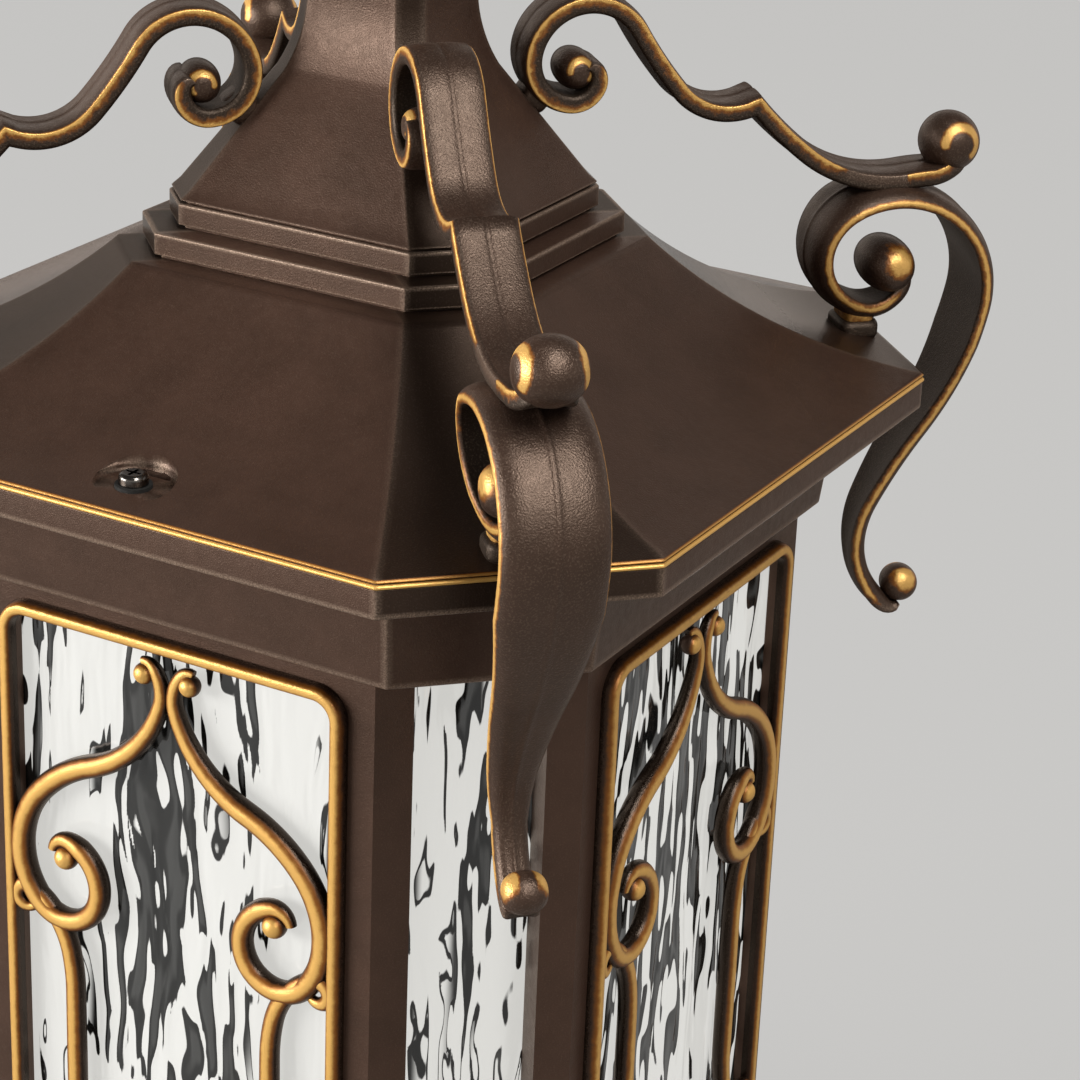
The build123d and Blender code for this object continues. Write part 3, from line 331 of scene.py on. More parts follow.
def plan_ring(half, face, radius):
    """Eight-sided outlines with rounded corners, one row for each pair of half and face.

    A corner's centre lies on its bisector, radius / cos(22.5) in from the corner, and its points run over
    45 degrees. A further point on each side holds the flat beside it. The second result is 1 on the corners.
    """
    hold, hold_share = 1.6, 0.4
    quarter = np.arange(8)
    odd = quarter % 2
    across = np.where(odd, half[:, None], face[:, None])
    out = np.where(odd, face[:, None], half[:, None])
    turn = np.radians(90 * (quarter // 2))
    corner = across[..., None] * unit(turn) + out[..., None] * unit(turn - math.pi / 2)
    radius = np.minimum(radius, np.maximum(face, 1e-3))[:, None]
    bisector = unit(np.radians(-67.5 + 45 * quarter))
    centre = corner - (radius / math.cos(math.pi / 8))[..., None] * bisector
    sweep = np.radians(-90 + 45 * quarter[:, None] + np.linspace(0, 45, 5))
    arc = centre[:, :, None] + radius[..., None, None] * unit(sweep)
    before = np.roll(arc[:, :, -1], 1, 1) - arc[:, :, 0]
    after = np.roll(arc[:, :, 0], -1, 1) - arc[:, :, -1]

    def beside(point, way):
        reach = np.linalg.norm(way, axis=-1, keepdims=True)
        return (point + way * np.minimum(hold / np.maximum(reach, 1e-6), hold_share))[:, :, None]

    ring = np.concatenate([beside(arc[:, :, 0], before), arc, beside(arc[:, :, -1], after)], 2)
    edge = np.tile([0, 0.7, 1, 1, 1, 0.7, 0], 8)
    return ring.reshape(len(half), -1, 2), edge


def knot(plan, z, share=0.0, worn=0.0, gilt=0.0):
    """One point of a casting's profile: plan, height, share of the rounding, wear and gold."""
    return (*plan, z, share, worn, gilt)


def rounded(knots, edge):
    """Rows of a profile whose marked knots are rounded.

    A share above 0 replaces a knot by a quadratic curve between points on its two legs, share * edge away,
    with a row beyond each end that holds the flat.
    """
    leg_share, hold_reach, hold_share = 0.42, 2.2, 0.48
    knots = np.array(knots, float)
    rows = []
    for index, middle in enumerate(knots):
        share = middle[3]
        if share <= 0 or index in (0, len(knots) - 1):
            rows.append(middle)
            continue
        ends, holds = [], []
        for leg in (knots[index - 1] - middle, knots[index + 1] - middle):
            size = np.linalg.norm(leg[[0, 2]])
            near = min(share * edge, leg_share * size)
            ends.append(middle[:3] + leg[:3] * (near / size))
            holds.append(middle[:3] + leg[:3] * min(hold_reach * near / size, hold_share))
        t = np.linspace(0, 1, 5)[:, None]
        curve = (1 - t) ** 2 * ends[0] + 2 * t * (1 - t) * middle[:3] + t ** 2 * ends[1]
        rows.append([*holds[0], 0, 0, 0])
        rows.extend([*point, 0, *middle[4:]] for point in curve)
        rows.append([*holds[1], 0, 0, 0])
    return np.array(rows)


def casting(knots, edge, corner=1.2, hips=((0,), (0.8,)), painted_chamfer_shade=0.0, face=0.0, hollow=False):
    """Eight-sided casting: rounded outlines stacked along a rounded profile.

    It is closed at both ends, or if hollow the profile runs back to its start. Hips gives the wear of the
    upright edges at heights, face that of the outermost band, and the argument before face the strength of
    the painted shade that darkens the chamfers and keeps the band's wear off them.
    """
    band_depth = 0.35
    rows = rounded(knots, edge)
    if hollow:
        rows = np.concatenate([rows, rows[:1]])
    half, z = rows[:, 0], rows[:, 2]
    ring, upright = plan_ring(half, rows[:, 1], corner)
    points = np.concatenate([ring, np.broadcast_to(z[:, None, None], (*ring.shape[:2], 1))], -1)
    # Painted shade: the chamfers are darkened through the shade attribute, and the outer band's wear is kept
    # off them
    chamfer = np.tile([0, 0, 0, 0.5, 1, 1, 1, 1, 1, 1, 0.5, 0, 0, 0], 4)
    band = np.where(half > half.max() - band_depth, face, 0.0)
    worn = np.maximum(rows[:, 4, None], upright * np.interp(z, *hips)[:, None])
    worn = np.maximum(worn, band[:, None] * (1 - painted_chamfer_shade * chamfer))
    return grid_part(points, poles=not hollow, worn=worn, gilt=rows[:, 5, None], shade=painted_chamfer_shade * chamfer)


def arc_through(first, middle, last, z):
    """Distances at the heights z on the circle through three points of (distance, z)."""
    (ax, az), (bx, bz), (cx, cz) = first, middle, last
    d = 2 * (ax * (bz - cz) + bx * (cz - az) + cx * (az - bz))
    a, b, c = ax * ax + az * az, bx * bx + bz * bz, cx * cx + cz * cz
    ox = (a * (bz - cz) + b * (cz - az) + c * (az - bz)) / d
    oz = (a * (cx - bx) + b * (ax - cx) + c * (bx - ax)) / d
    reach = np.sqrt(np.maximum((ax - ox) ** 2 + (az - oz) ** 2 - (z - oz) ** 2, 0))
    return ox + math.copysign(1.0, bx - ox) * reach


def eased_flank(plans, rises, z):
    """Halves and faces at heights z of a flank whose broad sides and chamfers each follow a circle."""
    half = arc_through(*[(plan[0], rise) for plan, rise in zip(plans, rises)], z)
    corner = arc_through(*[((plan[0] + plan[1]) / ROOT2, rise) for plan, rise in zip(plans, rises)], z)
    return half, corner * ROOT2 - half


def revolved(profile, columns, **values):
    """A profile of (radius, z) turned about the axis."""
    turn = np.linspace(0, 2 * math.pi, columns, endpoint=False)
    profile = np.array(profile, float)
    points = np.stack([profile[:, :1] * np.cos(turn), profile[:, :1] * np.sin(turn),
                       np.broadcast_to(profile[:, 1:], (len(profile), columns))], -1)
    return grid_part(points, poles=True, **{key: np.asarray(value)[:, None] for key, value in values.items()})


def arc_chain(start, heading, runs, spacing):
    """Points and headings along tangent arcs of (radius, turn in degrees), a straight run being (length, 0).

    The heading is the running turn over the length, and the points are the running sum of short steps along.
    """
    fine = 8
    radii, turns = np.array(runs, float).T
    lengths = np.where(turns == 0, radii, radii * np.radians(np.abs(turns)))
    knots = np.concatenate([[0], np.cumsum(lengths)])
    bends = np.radians(heading) + np.concatenate([[0], np.cumsum(np.radians(turns))])
    count = max(int(knots[-1] / spacing), 4) * fine
    reach = np.linspace(0, knots[-1], count + 1)
    middle = np.interp((reach[:-1] + reach[1:]) / 2, knots, bends)
    steps = unit(middle) * (knots[-1] / count)
    points = np.concatenate([[start], np.array(start) + np.cumsum(steps, 0)])
    return points[::fine], np.interp(reach, knots, bends)[::fine]


def chain_eye(start, heading, runs, end):
    """Centre of the first arc of a chain, where end is 0, or of its last, where it is -1."""
    points, headings = arc_chain(start, heading, runs, 0.5)
    radius, turn = runs[end]
    return points[end] + math.copysign(radius, turn) * unit(headings[end] + math.pi / 2)


def carried(path, across, out, **values):
    """A closed section carried along a flat path: out lies to the path's left, across out of its plane."""
    points, headings = path
    placed = points[:, None] + out[..., None] * unit(headings + math.pi / 2)[:, None]
    grid = np.stack([placed[..., 0], np.broadcast_to(across, placed.shape[:2]), placed[..., 1]], -1)
    return grid_part(grid, poles=True, **values)


def mitred(first, second, clear):
    """One path from two whose ends meet at an angle, and how much its section stretches along it.

    Rows nearer than "clear" to the meeting point make way for one row on the mitre, whose section is
    stretched by 1 / cos(half the turn).
    """
    corner = first[0][-1]
    second = second[0], second[1] + 2 * math.pi * round((first[1][-1] - second[1][0]) / (2 * math.pi))
    before = np.linalg.norm(first[0] - corner, axis=-1) > clear
    after = np.linalg.norm(second[0] - corner, axis=-1) > clear
    points = np.concatenate([first[0][before], [corner], second[0][after]])
    headings = np.concatenate([first[1][before], [(first[1][-1] + second[1][0]) / 2], second[1][after]])
    stretch = np.ones(len(points))
    stretch[before.sum()] = 1 / math.cos((first[1][-1] - second[1][0]) / 2)
    return (points, headings), stretch


def strap(path, stretch, width, shape, line, shoulder, fades, sunk, gilded):
    """Flat strap with gilded edges.

    Outer face: from the edges it rises by shoulder and crown times (1 - |u|^4.2)^0.6, u running from -1 to 1
    across the strap, and along its middle runs a bell-shaped ridge of height "line", or a groove if that is
    negative. Sides: straight, then quarter circles. Inner face: slightly hollowed. Gold is full on the two
    edges, and fades as a bell curve over the first of the two "fades" on the outer face and exponentially
    over the second on the sides. Beside the gold the outer face darkens in a thin line, and the sides and
    inner face darken into painted shade. At both ends the strap swells as a quarter ellipse, and sinks by
    the two depths "sunk" into the eyes there.
    """
    full_width, line_width, swell_length, least = 18.0, 0.8, 9.0, 0.15
    points = path[0]
    corner = shape.strap_edge
    edge, level = ARM_THICKNESS / 2 - shoulder, corner - ARM_THICKNESS / 2
    u = np.sort(np.concatenate([np.sin(np.linspace(-1, 1, 24) * math.pi / 2), np.linspace(-0.11, 0.11, 5)]))
    bend = np.radians(np.linspace(0, -90, 7))
    inner = np.linspace(0.75, -0.75, 7)
    dome = (1 - np.abs(u) ** 4.2) ** 0.6

    def section(breadth):
        crown = shoulder + shape.strap_crown * np.minimum(breadth / full_width, 1)
        straight = np.linspace(edge, level, 6)[1:-1]
        side = np.concatenate([0 * straight + breadth / 2, breadth / 2 - corner + corner * np.cos(bend)], -1)
        down = np.broadcast_to(np.concatenate([straight, level + corner * np.sin(bend)]), side.shape)
        across = [u * breadth / 2, side, inner * (breadth / 2 - corner), -side[..., ::-1]]
        ridge = line * np.exp(-(across[0] / line_width) ** 2)
        hollow = np.broadcast_to(0.5 * (1 - inner ** 2) - ARM_THICKNESS / 2, across[2].shape)
        out = [edge + crown * dome + ridge, down, hollow, down[..., ::-1]]
        return np.concatenate(across, -1), np.concatenate(out, -1)

    across, out = section(width[:, None])
    plain = np.stack(section(np.array([[full_width]])), -1)[0]
    along = running_length(plain)
    whole = along[-1] + np.linalg.norm(plain[0] - plain[-1])
    last = along[len(u) - 1]
    faced = np.arange(len(along)) < len(u)
    gap = np.where(faced, np.minimum(along, last - along), np.minimum(along - last, whole - along))
    share = gap / np.where(faced, *fades)
    gilt = np.exp(-np.where(faced, share ** 2, share))
    # Painted shade on the sides and inner face, growing away from the gold; on the outer face a thin dark
    # line runs beside it
    shade = np.where(faced, 0.8 * np.exp(-((gap - 1.5) / 0.6) ** 2), np.clip((gap - 1.2) / 1.4, 0, 1))
    strength = gilded[:, None]
    reach = running_length(points)
    out = out * stretch[:, None]
    for distance, depth in zip((reach, reach[-1] - reach), sunk):
        swell = np.sqrt(1 - (1 - np.minimum(distance / swell_length, 1)) ** 2)[:, None]
        out = out * (least + (1 - least) * swell) + depth * (1 - swell)
    return carried(path, across, out, gilt=gilt * strength, shade=shade, worn=0.7 * gilt * (1 - strength))


def barrel(place, radius, width, roundness, gold):
    """Ball across a scroll's plane, of radius * cos(latitude)^roundness, with gold on both ends.

    The gold is a ring, or a disc if the ring's radius is 0: a bell curve about "ring" of the distance from a
    point that lies "out" and "down" from the middle. The ring opens below, towards the scroll. All in radii.
    """
    out, down, ring, breadth = gold
    half_opening, opening_turn, opening_fade = 2.3, 0.35, 0.3
    latitude, turn = ball_angles(49, 48)
    reach = np.cos(latitude) ** roundness
    x, z = reach * np.cos(turn), reach * np.sin(turn)
    across = np.broadcast_to(np.sin(latitude) * width / 2, x.shape)
    points = np.stack([place[0] + radius * x, across, place[1] + radius * z], -1)
    gilt = np.exp(-np.abs((np.hypot(x - out, z + down) - ring) / breadth) ** 3)
    if ring:
        bearing = np.arctan2(-(x - out), z + down)
        gilt = gilt * np.clip((half_opening - np.abs(bearing + opening_turn)) / opening_fade, 0, 1)
    return grid_part(points, poles=True, gilt=gilt * np.clip(np.abs(np.sin(latitude)) * 5 - 1.2, 0, 1))


def pillow(place, size, gilt=0.0, shade=0.0, slope=0.0):
    """Block with swollen faces: a superellipsoid, each coordinate the root of a sine or cosine."""
    centre = [place[0], 0, place[1]]
    latitude, turn = ball_angles(25, 48)

    def eased(value):
        return np.sign(value) * np.abs(value) ** 0.5

    level = eased(np.cos(latitude))
    unit_points = np.stack([level * eased(np.cos(turn)), level * eased(np.sin(turn)),
                            np.broadcast_to(eased(np.sin(latitude)), (latitude.size, turn.size))], -1)
    tilt = math.radians(slope)
    lean = np.array([[math.cos(tilt), 0, -math.sin(tilt)], [0, 1, 0], [math.sin(tilt), 0, math.cos(tilt)]])
    return grid_part(unit_points * np.array(size) / 2 @ lean.T + centre, poles=True, gilt=gilt, shade=shade)


def bar(path, radius, front):
    """Bent bar of the scrollwork, with gold on its front ridge and more of it on upper sides.

    The section is an oval whose width and depth follow "radius" along the path. The upper sides' extra gold
    is painted light from above, and the dark sides are partly coat and partly painted shade.
    """
    turn = np.linspace(0, 2 * math.pi, 24, endpoint=False)
    ridge = np.cos(turn)
    radius = radius[:, None]
    across = front - 0.95 * radius * ridge
    out = radius * np.sign(np.sin(turn)) * np.abs(np.sin(turn)) ** 0.9
    waxed = np.interp(ridge, [0.42, 0.57, 0.77, 0.91, 0.98, 1.0], [0.0, 0.22, 0.42, 0.57, 0.8, 0.92])
    # Painted light: upper sides get more gold, as if lit from above
    upper = 0.15 * np.cos(path[1])[:, None] * np.sin(turn)
    # Sides away from the front darken, partly dark coat and partly painted shade
    shade = np.clip((0.75 - ridge) / 0.3, 0, 1)
    return carried(path, across, out, gilt=np.clip(waxed + upper, 0, 1), shade=shade)


def ball(place, radius, level):
    """Ball in the eye of a scroll: a sphere by latitude and turn, its middle at a level, gilded in front."""
    latitude, turn = ball_angles(19, 28)
    reach = radius * np.cos(latitude)
    depth = np.broadcast_to(level - radius * np.sin(latitude), (latitude.size, turn.size))
    points = np.stack([place[0] + reach * np.cos(turn), depth, place[1] + reach * np.sin(turn)], -1)
    return grid_part(points, poles=True, gilt=np.clip((np.sin(latitude) - 0.1) / 0.85, 0, 1))


def lattice(rng, u, v):
    """Random values on a square lattice, joined by smooth steps."""
    table = rng.random((int(u.max()) + 3, int(v.max()) + 3))
    i, j = np.floor(u).astype(int), np.floor(v).astype(int)
    a, b = u - i, v - j
    a, b = a * a * (3 - 2 * a), b * b * (3 - 2 * b)
    low = table[i, j] * (1 - a) + table[i + 1, j] * a
    high = table[i, j + 1] * (1 - a) + table[i + 1, j + 1] * a
    return low * (1 - b) + high * b


def pane(half, low, high, front, depth, seed, dense, middle, holes):
    """Rippled pane on the front side.

    The ripple is a sum of three smooth random fields, drawn out upright and swayed sideways by two more, and
    it dents the front. The painted dark that stands in for the inside seen through the glass crowds in the
    middle and at both sides, as bell curves across the pane, drifts with broad fields and grows by "dense".
    Kept as attributes: that crowd, and the ripple's height over a level that rises with it, raised in small
    lens-shaped spots where a further field passes "holes".
    """
    rng = np.random.default_rng(seed)
    across, upright, margin, rim_width = 0.5, 1.2, 30, 2
    x, z = np.meshgrid(np.linspace(-half, half, int(2 * half / across)),
                       np.linspace(low, high, int((high - low) / upright)))
    u, v = x + half + margin, z - low + margin

    def summed(*fields):
        return sum(share * lattice(rng, swayed / wide, v / tall) for share, wide, tall in fields)

    swayed = u + 7 * (lattice(rng, u / 12, v / 45) - 0.5) + 2.4 * (lattice(rng, u / 5, v / 18) - 0.5)
    field = summed((0.5, 2.8, 26), (0.32, 1.6, 15), (0.18, 1.2, 8.5))
    lens = summed((0.7, 2.9, 17), (0.3, 1.7, 10))
    sides = np.exp(-((half - np.abs(x)) / (0.12 * half)) ** 2)
    inside = middle * np.exp(-(x / (0.3 * half)) ** 2) + 0.45 * sides
    crowd = inside * (0.35 + lattice(rng, u / 30, v / 50)) + 0.62 * lattice(rng, u / 16, v / 60) + dense
    crowd = np.clip(crowd, 0, 1)
    ripple = np.maximum(field - (0.24 + 0.4 * crowd), 0.8 * (lens - holes))
    rim = np.minimum(1, np.minimum.reduce([x + half, half - x, z - low, high - z]) / rim_width)
    faced = np.stack([x, -front + depth * field * rim, z], -1)
    backed = np.stack([x, np.full_like(x, PANE_THICKNESS - front), z], -1)
    sheet = grid_faces(*x.shape, False)
    index = np.arange(x.size).reshape(x.shape)
    border = np.concatenate([index[0, :-1], index[:-1, -1], index[-1, :0:-1], index[:0:-1, 0]])
    following = np.roll(border, -1)
    walls = np.stack([border, following, following + x.size, border + x.size], -1)
    return (np.stack([faced, backed]).reshape(-1, 3), np.concatenate([sheet, sheet[:, ::-1] + x.size, walls]),
            {"ripple": np.tile(ripple.ravel(), 2), "crowd": np.tile(crowd.ravel(), 2)})


# Materials. Sockets of a mix node: the factor, the two colours, the two values, and the colour that it gives.
FACTOR, FIRST, SECOND, LESS, MORE, MIXED = 0, 6, 7, 2, 3, 2


def add(tree, kind, inputs=(), give=0, **settings):
    """Adds one node with its settings and gives one of its outputs.

    Inputs are values or other nodes' outputs, in the order of the sockets or by socket.
    """
    node = tree.nodes.new("ShaderNode" + kind)
    for key, value in settings.items():
        setattr(node, key, value)
    for key, value in inputs.items() if isinstance(inputs, dict) else enumerate(inputs):
        socket = node.inputs[key]
        if isinstance(value, bpy.types.NodeSocket):
            tree.links.new(value, socket)
        elif socket.type == "RGBA":
            socket.default_value = (*value, 1.0)
        else:
            socket.default_value = value
    return node.outputs[give]


def per_mm(size):
    """Noise scale of a feature of this size in millimetres, on coordinates in metres."""
    return 1 / (size * MM)


def new_material(name, sockets):
    """A material with one principled shader, whose even values are set on its own sockets."""
    material = bpy.data.materials.new(name)
    material.use_nodes = True
    shader = material.node_tree.nodes["Principled BSDF"]
    for key, value in sockets.items():
        shader.inputs[key].default_value = value
    return material, material.node_tree, shader


def waxed_bronze(name, dark, gilding, gloss, sheltered, slanted, grit, flakes):
    """Cast aluminium with an oil-rubbed bronze coat and gold wax.

    To the eye: a dark red-brown satin skin with fine light flakes, cloudy where the coat was rubbed, near
    black where the coat lies thick and where shade is painted, lighter where edges are worn, and on the
    gilded edges a soft run from black-brown over burnt orange to bright gold. Seen at a slant the castings
    turn to a mirror and the arms go dull. Dark is the least share of deep coat, gilding how much specks
    break the gold's border, sheltered and slanted the roughness of thick coat and painted shade, and of
    slanted faces, grit the grain's size, flakes its strength.
    """
    finish = bpy.context.scene.lantern_finish
    warm_gloss = (*linear("#ffe4cc"), 1.0)
    material, tree, shader = new_material(name, {"Specular IOR Level": gloss, "Specular Tint": warm_gloss})
    place = add(tree, "TexCoord", give="Object")
    cloud, grain, speck = (
        add(tree, "TexNoise",
            {"Vector": place, "Scale": per_mm(size), "Detail": detail, "Roughness": rough})
        for size, detail, rough in ((16, 5.0, 0.6), (grit, 2.0, 0.5), (2.6, 4.0, 0.7)))
    worn, gilt, shade = (add(tree, "Attribute", give="Fac", attribute_name=key)
                         for key in ("worn", "gilt", "shade"))

    clouded = add(tree, "MapRange", [cloud, 0.35, 0.68, dark, dark + 0.25])
    # Painted shade: the shade attribute pulls the skin to the deep colour
    deep = add(tree, "Math", [clouded, shade], operation="MAXIMUM")
    rub = add(tree, "MapRange", [grain, 0.35, 0.68, 0.25, 0.85])
    flake = add(tree, "MapRange", [grain, 0.52, 0.75, 0.0, flakes])
    rubbed = add(tree, "Math", [worn, rub, flake], operation="MULTIPLY_ADD")
    broken = add(tree, "MapRange", [speck, 0.25, 0.75, -gilding, gilding])
    held = add(tree, "Math", [gilt, broken], operation="ADD")
    waxed, burnished = (
        add(tree, "MapRange", [held, low, high, 0.0, 1.0], interpolation_type="SMOOTHSTEP")
        for low, high in ((0.2, 0.5), (0.45, 0.85)))
    skin = finish.bronze
    for share, over in ((deep, finish.bronze_deep_and_shade), (rubbed, finish.bronze_worn), (waxed, finish.gold_rubbed),
                        (burnished, finish.gold)):
        skin = add(tree, "Mix", {FACTOR: share, FIRST: skin, SECOND: over}, MIXED, data_type="RGBA")

    metal = add(tree, "MapRange", [burnished, 0.0, 1.0, 0.3, 0.45])
    slant = add(tree, "LayerWeight", {"Blend": 0.5}, "Facing")
    grazed = add(tree, "MapRange", [slant, 0.72, 0.95, 0.0, 1.0])
    rough = add(tree, "MapRange", [speck, 0.3, 0.7, 0.3, 0.44])
    for share, other in ((shade, sheltered), (burnished, 0.38), (grazed, slanted)):
        rough = add(tree, "Mix", {FACTOR: share, LESS: rough, MORE: other}, data_type="FLOAT")
    relief = add(tree, "Math", [speck, 0.2, grain], operation="MULTIPLY_ADD")
    raised = 0.25 + 2.0 * flakes
    bump = add(tree, "Bump", {"Strength": raised, "Distance": 0.2 * MM, "Height": relief})
    for key, source in (("Base Color", skin), ("Metallic", metal), ("Roughness", rough), ("Normal", bump)):
        tree.links.new(source, shader.inputs[key])
    return material


def rippled_glass(name, painted_glow_strength):
    """Rolled cathedral glass, drawn with long ripples.

    To the eye: the clear parts shine evenly white with a painted glow that stands in for the pale
    surroundings seen through them, and the ripples' flanks carry painted dark that stands in for the dark
    inside seen through them, as crisp upright streaks and hooks, all under one glossy skin.
    """
    finish = bpy.context.scene.lantern_finish
    material, tree, shader = new_material(name, {"Roughness": 0.08, "IOR": 1.5, "Emission Strength": painted_glow_strength,
                                                 "Coat Weight": 0.4, "Coat Roughness": 0.03})
    ripple, crowd = (add(tree, "Attribute", give="Fac", attribute_name=key)
                     for key in ("ripple", "crowd"))
    flank = add(tree, "Math", [ripple], operation="ABSOLUTE")
    ring, ringed, below, filled, thin = (
        add(tree, "MapRange", values, interpolation_type="SMOOTHSTEP")
        for values in ([flank, 0.018, 0.034, 1.0, 0.0], [crowd, 0.12, 0.24, 0.0, 1.0],
                       [ripple, -0.015, 0.015, 1.0, 0.0], [crowd, 0.33, 0.43, 0.0, 1.0],
                       [ripple, -0.15, -0.05, 0.95, 1.0]))
    # Painted dark: lines on the ripples' flanks and pools where the crowd is dense, standing in for the dark
    # inside seen through the glass
    lines, pools = (add(tree, "Math", pair, operation="MULTIPLY")
                    for pair in ([ring, ringed], [below, filled]))
    pools = add(tree, "Math", [pools, thin], operation="MULTIPLY")
    streak = add(tree, "Math", [lines, pools], operation="MAXIMUM")
    # Painted glow: the clear parts emit the glow colour
    clear = finish.painted_glass_glow
    dimmed = [0.22 * value for value in clear]
    for key, first, second in (("Base Color", dimmed, finish.glass_streak),
                               ("Emission Color", clear, (0, 0, 0))):
        shown = add(tree, "Mix", {FACTOR: streak, FIRST: first, SECOND: second}, MIXED,
                    data_type="RGBA")
        tree.links.new(shown, shader.inputs[key])
    return material


def plain_finish(name, base, shadow, metallic, roughness, grain, depth, sockets):
    """One even finish: its colour drifts towards a second one in clouds, and a fine grain roughens it."""
    material, tree, shader = new_material(name, {"Metallic": metallic, **sockets})
    place = add(tree, "TexCoord", give="Object")
    cloud, fine = (add(tree, "TexNoise", {"Vector": place, "Scale": per_mm(size), "Detail": detail})
                   for size, detail in ((grain * 12, 4.0), (grain, 3.0)))
    body = add(tree, "Mix", {FACTOR: cloud, FIRST: linear(base), SECOND: linear(shadow)}, MIXED,
               data_type="RGBA")
    rough = add(tree, "MapRange", [fine, 0.3, 0.7, roughness * 0.8, min(roughness * 1.2, 1.0)])
    bump = add(tree, "Bump", {"Strength": 0.3, "Distance": depth * MM, "Height": fine})
    for key, source in (("Base Color", body), ("Roughness", rough), ("Normal", bump)):
        tree.links.new(source, shader.inputs[key])
    return material


# Coats: name, dark, gilding, gloss, sheltered, slanted, grit mm, flakes
WAXED = {
    # Satin castings without specks in their gold lines
    "bronze_casting": ("Oil-rubbed bronze coat", 0.0, 0.0, 0.4, 0.45, 0.08, 0.45, 0.08),
    # Darker arms with more flakes and ragged gold edges
    "gilded_bronze_arms": ("Oil-rubbed bronze with gold wax", 0.3, 0.22, 0.65, 0.5, 0.8, 0.5, 0.24),
    # Scrollwork, black with painted shade in its hollows and on its bars' sides, and gold on its ridges
    "gilded_scrollwork": ("Gold-waxed scrollwork", 0.3, 0.08, 0.4, 0.25, 0.6, 0.45, 0.1),
}

# Glass: name, strength of the painted glow
GLASS = {"ripple_glass": ("Rolled rippled glass", 0.64)}

# Finishes of the CAD nodes that stay as they are: name, base, shadow, metallic, roughness, grain mm,
# depth mm, further sockets
HARDWARE = {
    # Moulded rubber: near black, dull, a faint bloom
    "black_rubber": ("EPDM rubber", "#1c1b1a", "#2b2a28", 0.0, 0.75, 1.2, 0.05, {"Specular IOR Level": 0.15}),
    # Black nickel on steel: a smoky mirror with sharp small highlights
    "blackened_screws": ("Black-nickelled steel", "#77726d", "#4b4743", 1.0, 0.2, 0.8, 0.02, {}),
    # Zinc plate: bluish grey with a cloudy spangle
    "zinc_steel": ("Zinc-plated steel", "#b9bbbd", "#8f9294", 1.0, 0.34, 0.7, 0.02, {}),
    # Spring steel strip: bright, finely rolled
    "spring_steel": ("Spring steel", "#a8a8a6", "#7d7d7b", 1.0, 0.25, 0.5, 0.01, {}),
    # Nickel plate: warm bright metal
    "nickelled_brass": ("Nickel-plated brass", "#cfc6b2", "#b3a789", 1.0, 0.2, 0.6, 0.01, {}),
    # Glazed porcelain: warm white under a clear glaze
    "white_ceramic": ("Glazed porcelain", "#ece8df", "#dcd6c9", 0.0, 0.35, 1.5, 0.02, {"Coat Weight": 0.8}),
    # Moulded polycarbonate: even white satin
    "white_plastic": ("Moulded polycarbonate", "#ededeb", "#e2e2df", 0.0, 0.42, 0.6, 0.02, {}),
    # Opal polycarbonate: milky, light goes a little way in
    "opal_dome": ("Opal polycarbonate", "#f3f2ee", "#ebe9e3", 0.0, 0.3, 0.8, 0.01,
                  {"Subsurface Weight": 0.3}),
    # Silicone sheath: brown-red, soft sheen
    "lead_sheath": ("Silicone sheath", "#6b3327", "#58271d", 0.0, 0.5, 0.5, 0.02, {}),
    # Powder coat: white with a fine orange peel
    "white_tray": ("White powder coat", "#e6e5e1", "#dad9d4", 0.0, 0.48, 1.0, 0.04, {}),
}


def finish_named(slot):
    """The material of a record slot, made once."""
    for maker, table in ((waxed_bronze, WAXED), (rippled_glass, GLASS), (plain_finish, HARDWARE)):
        if slot in table:
            return bpy.data.materials.get(table[slot][0]) or maker(*table[slot])
    raise KeyError(slot)


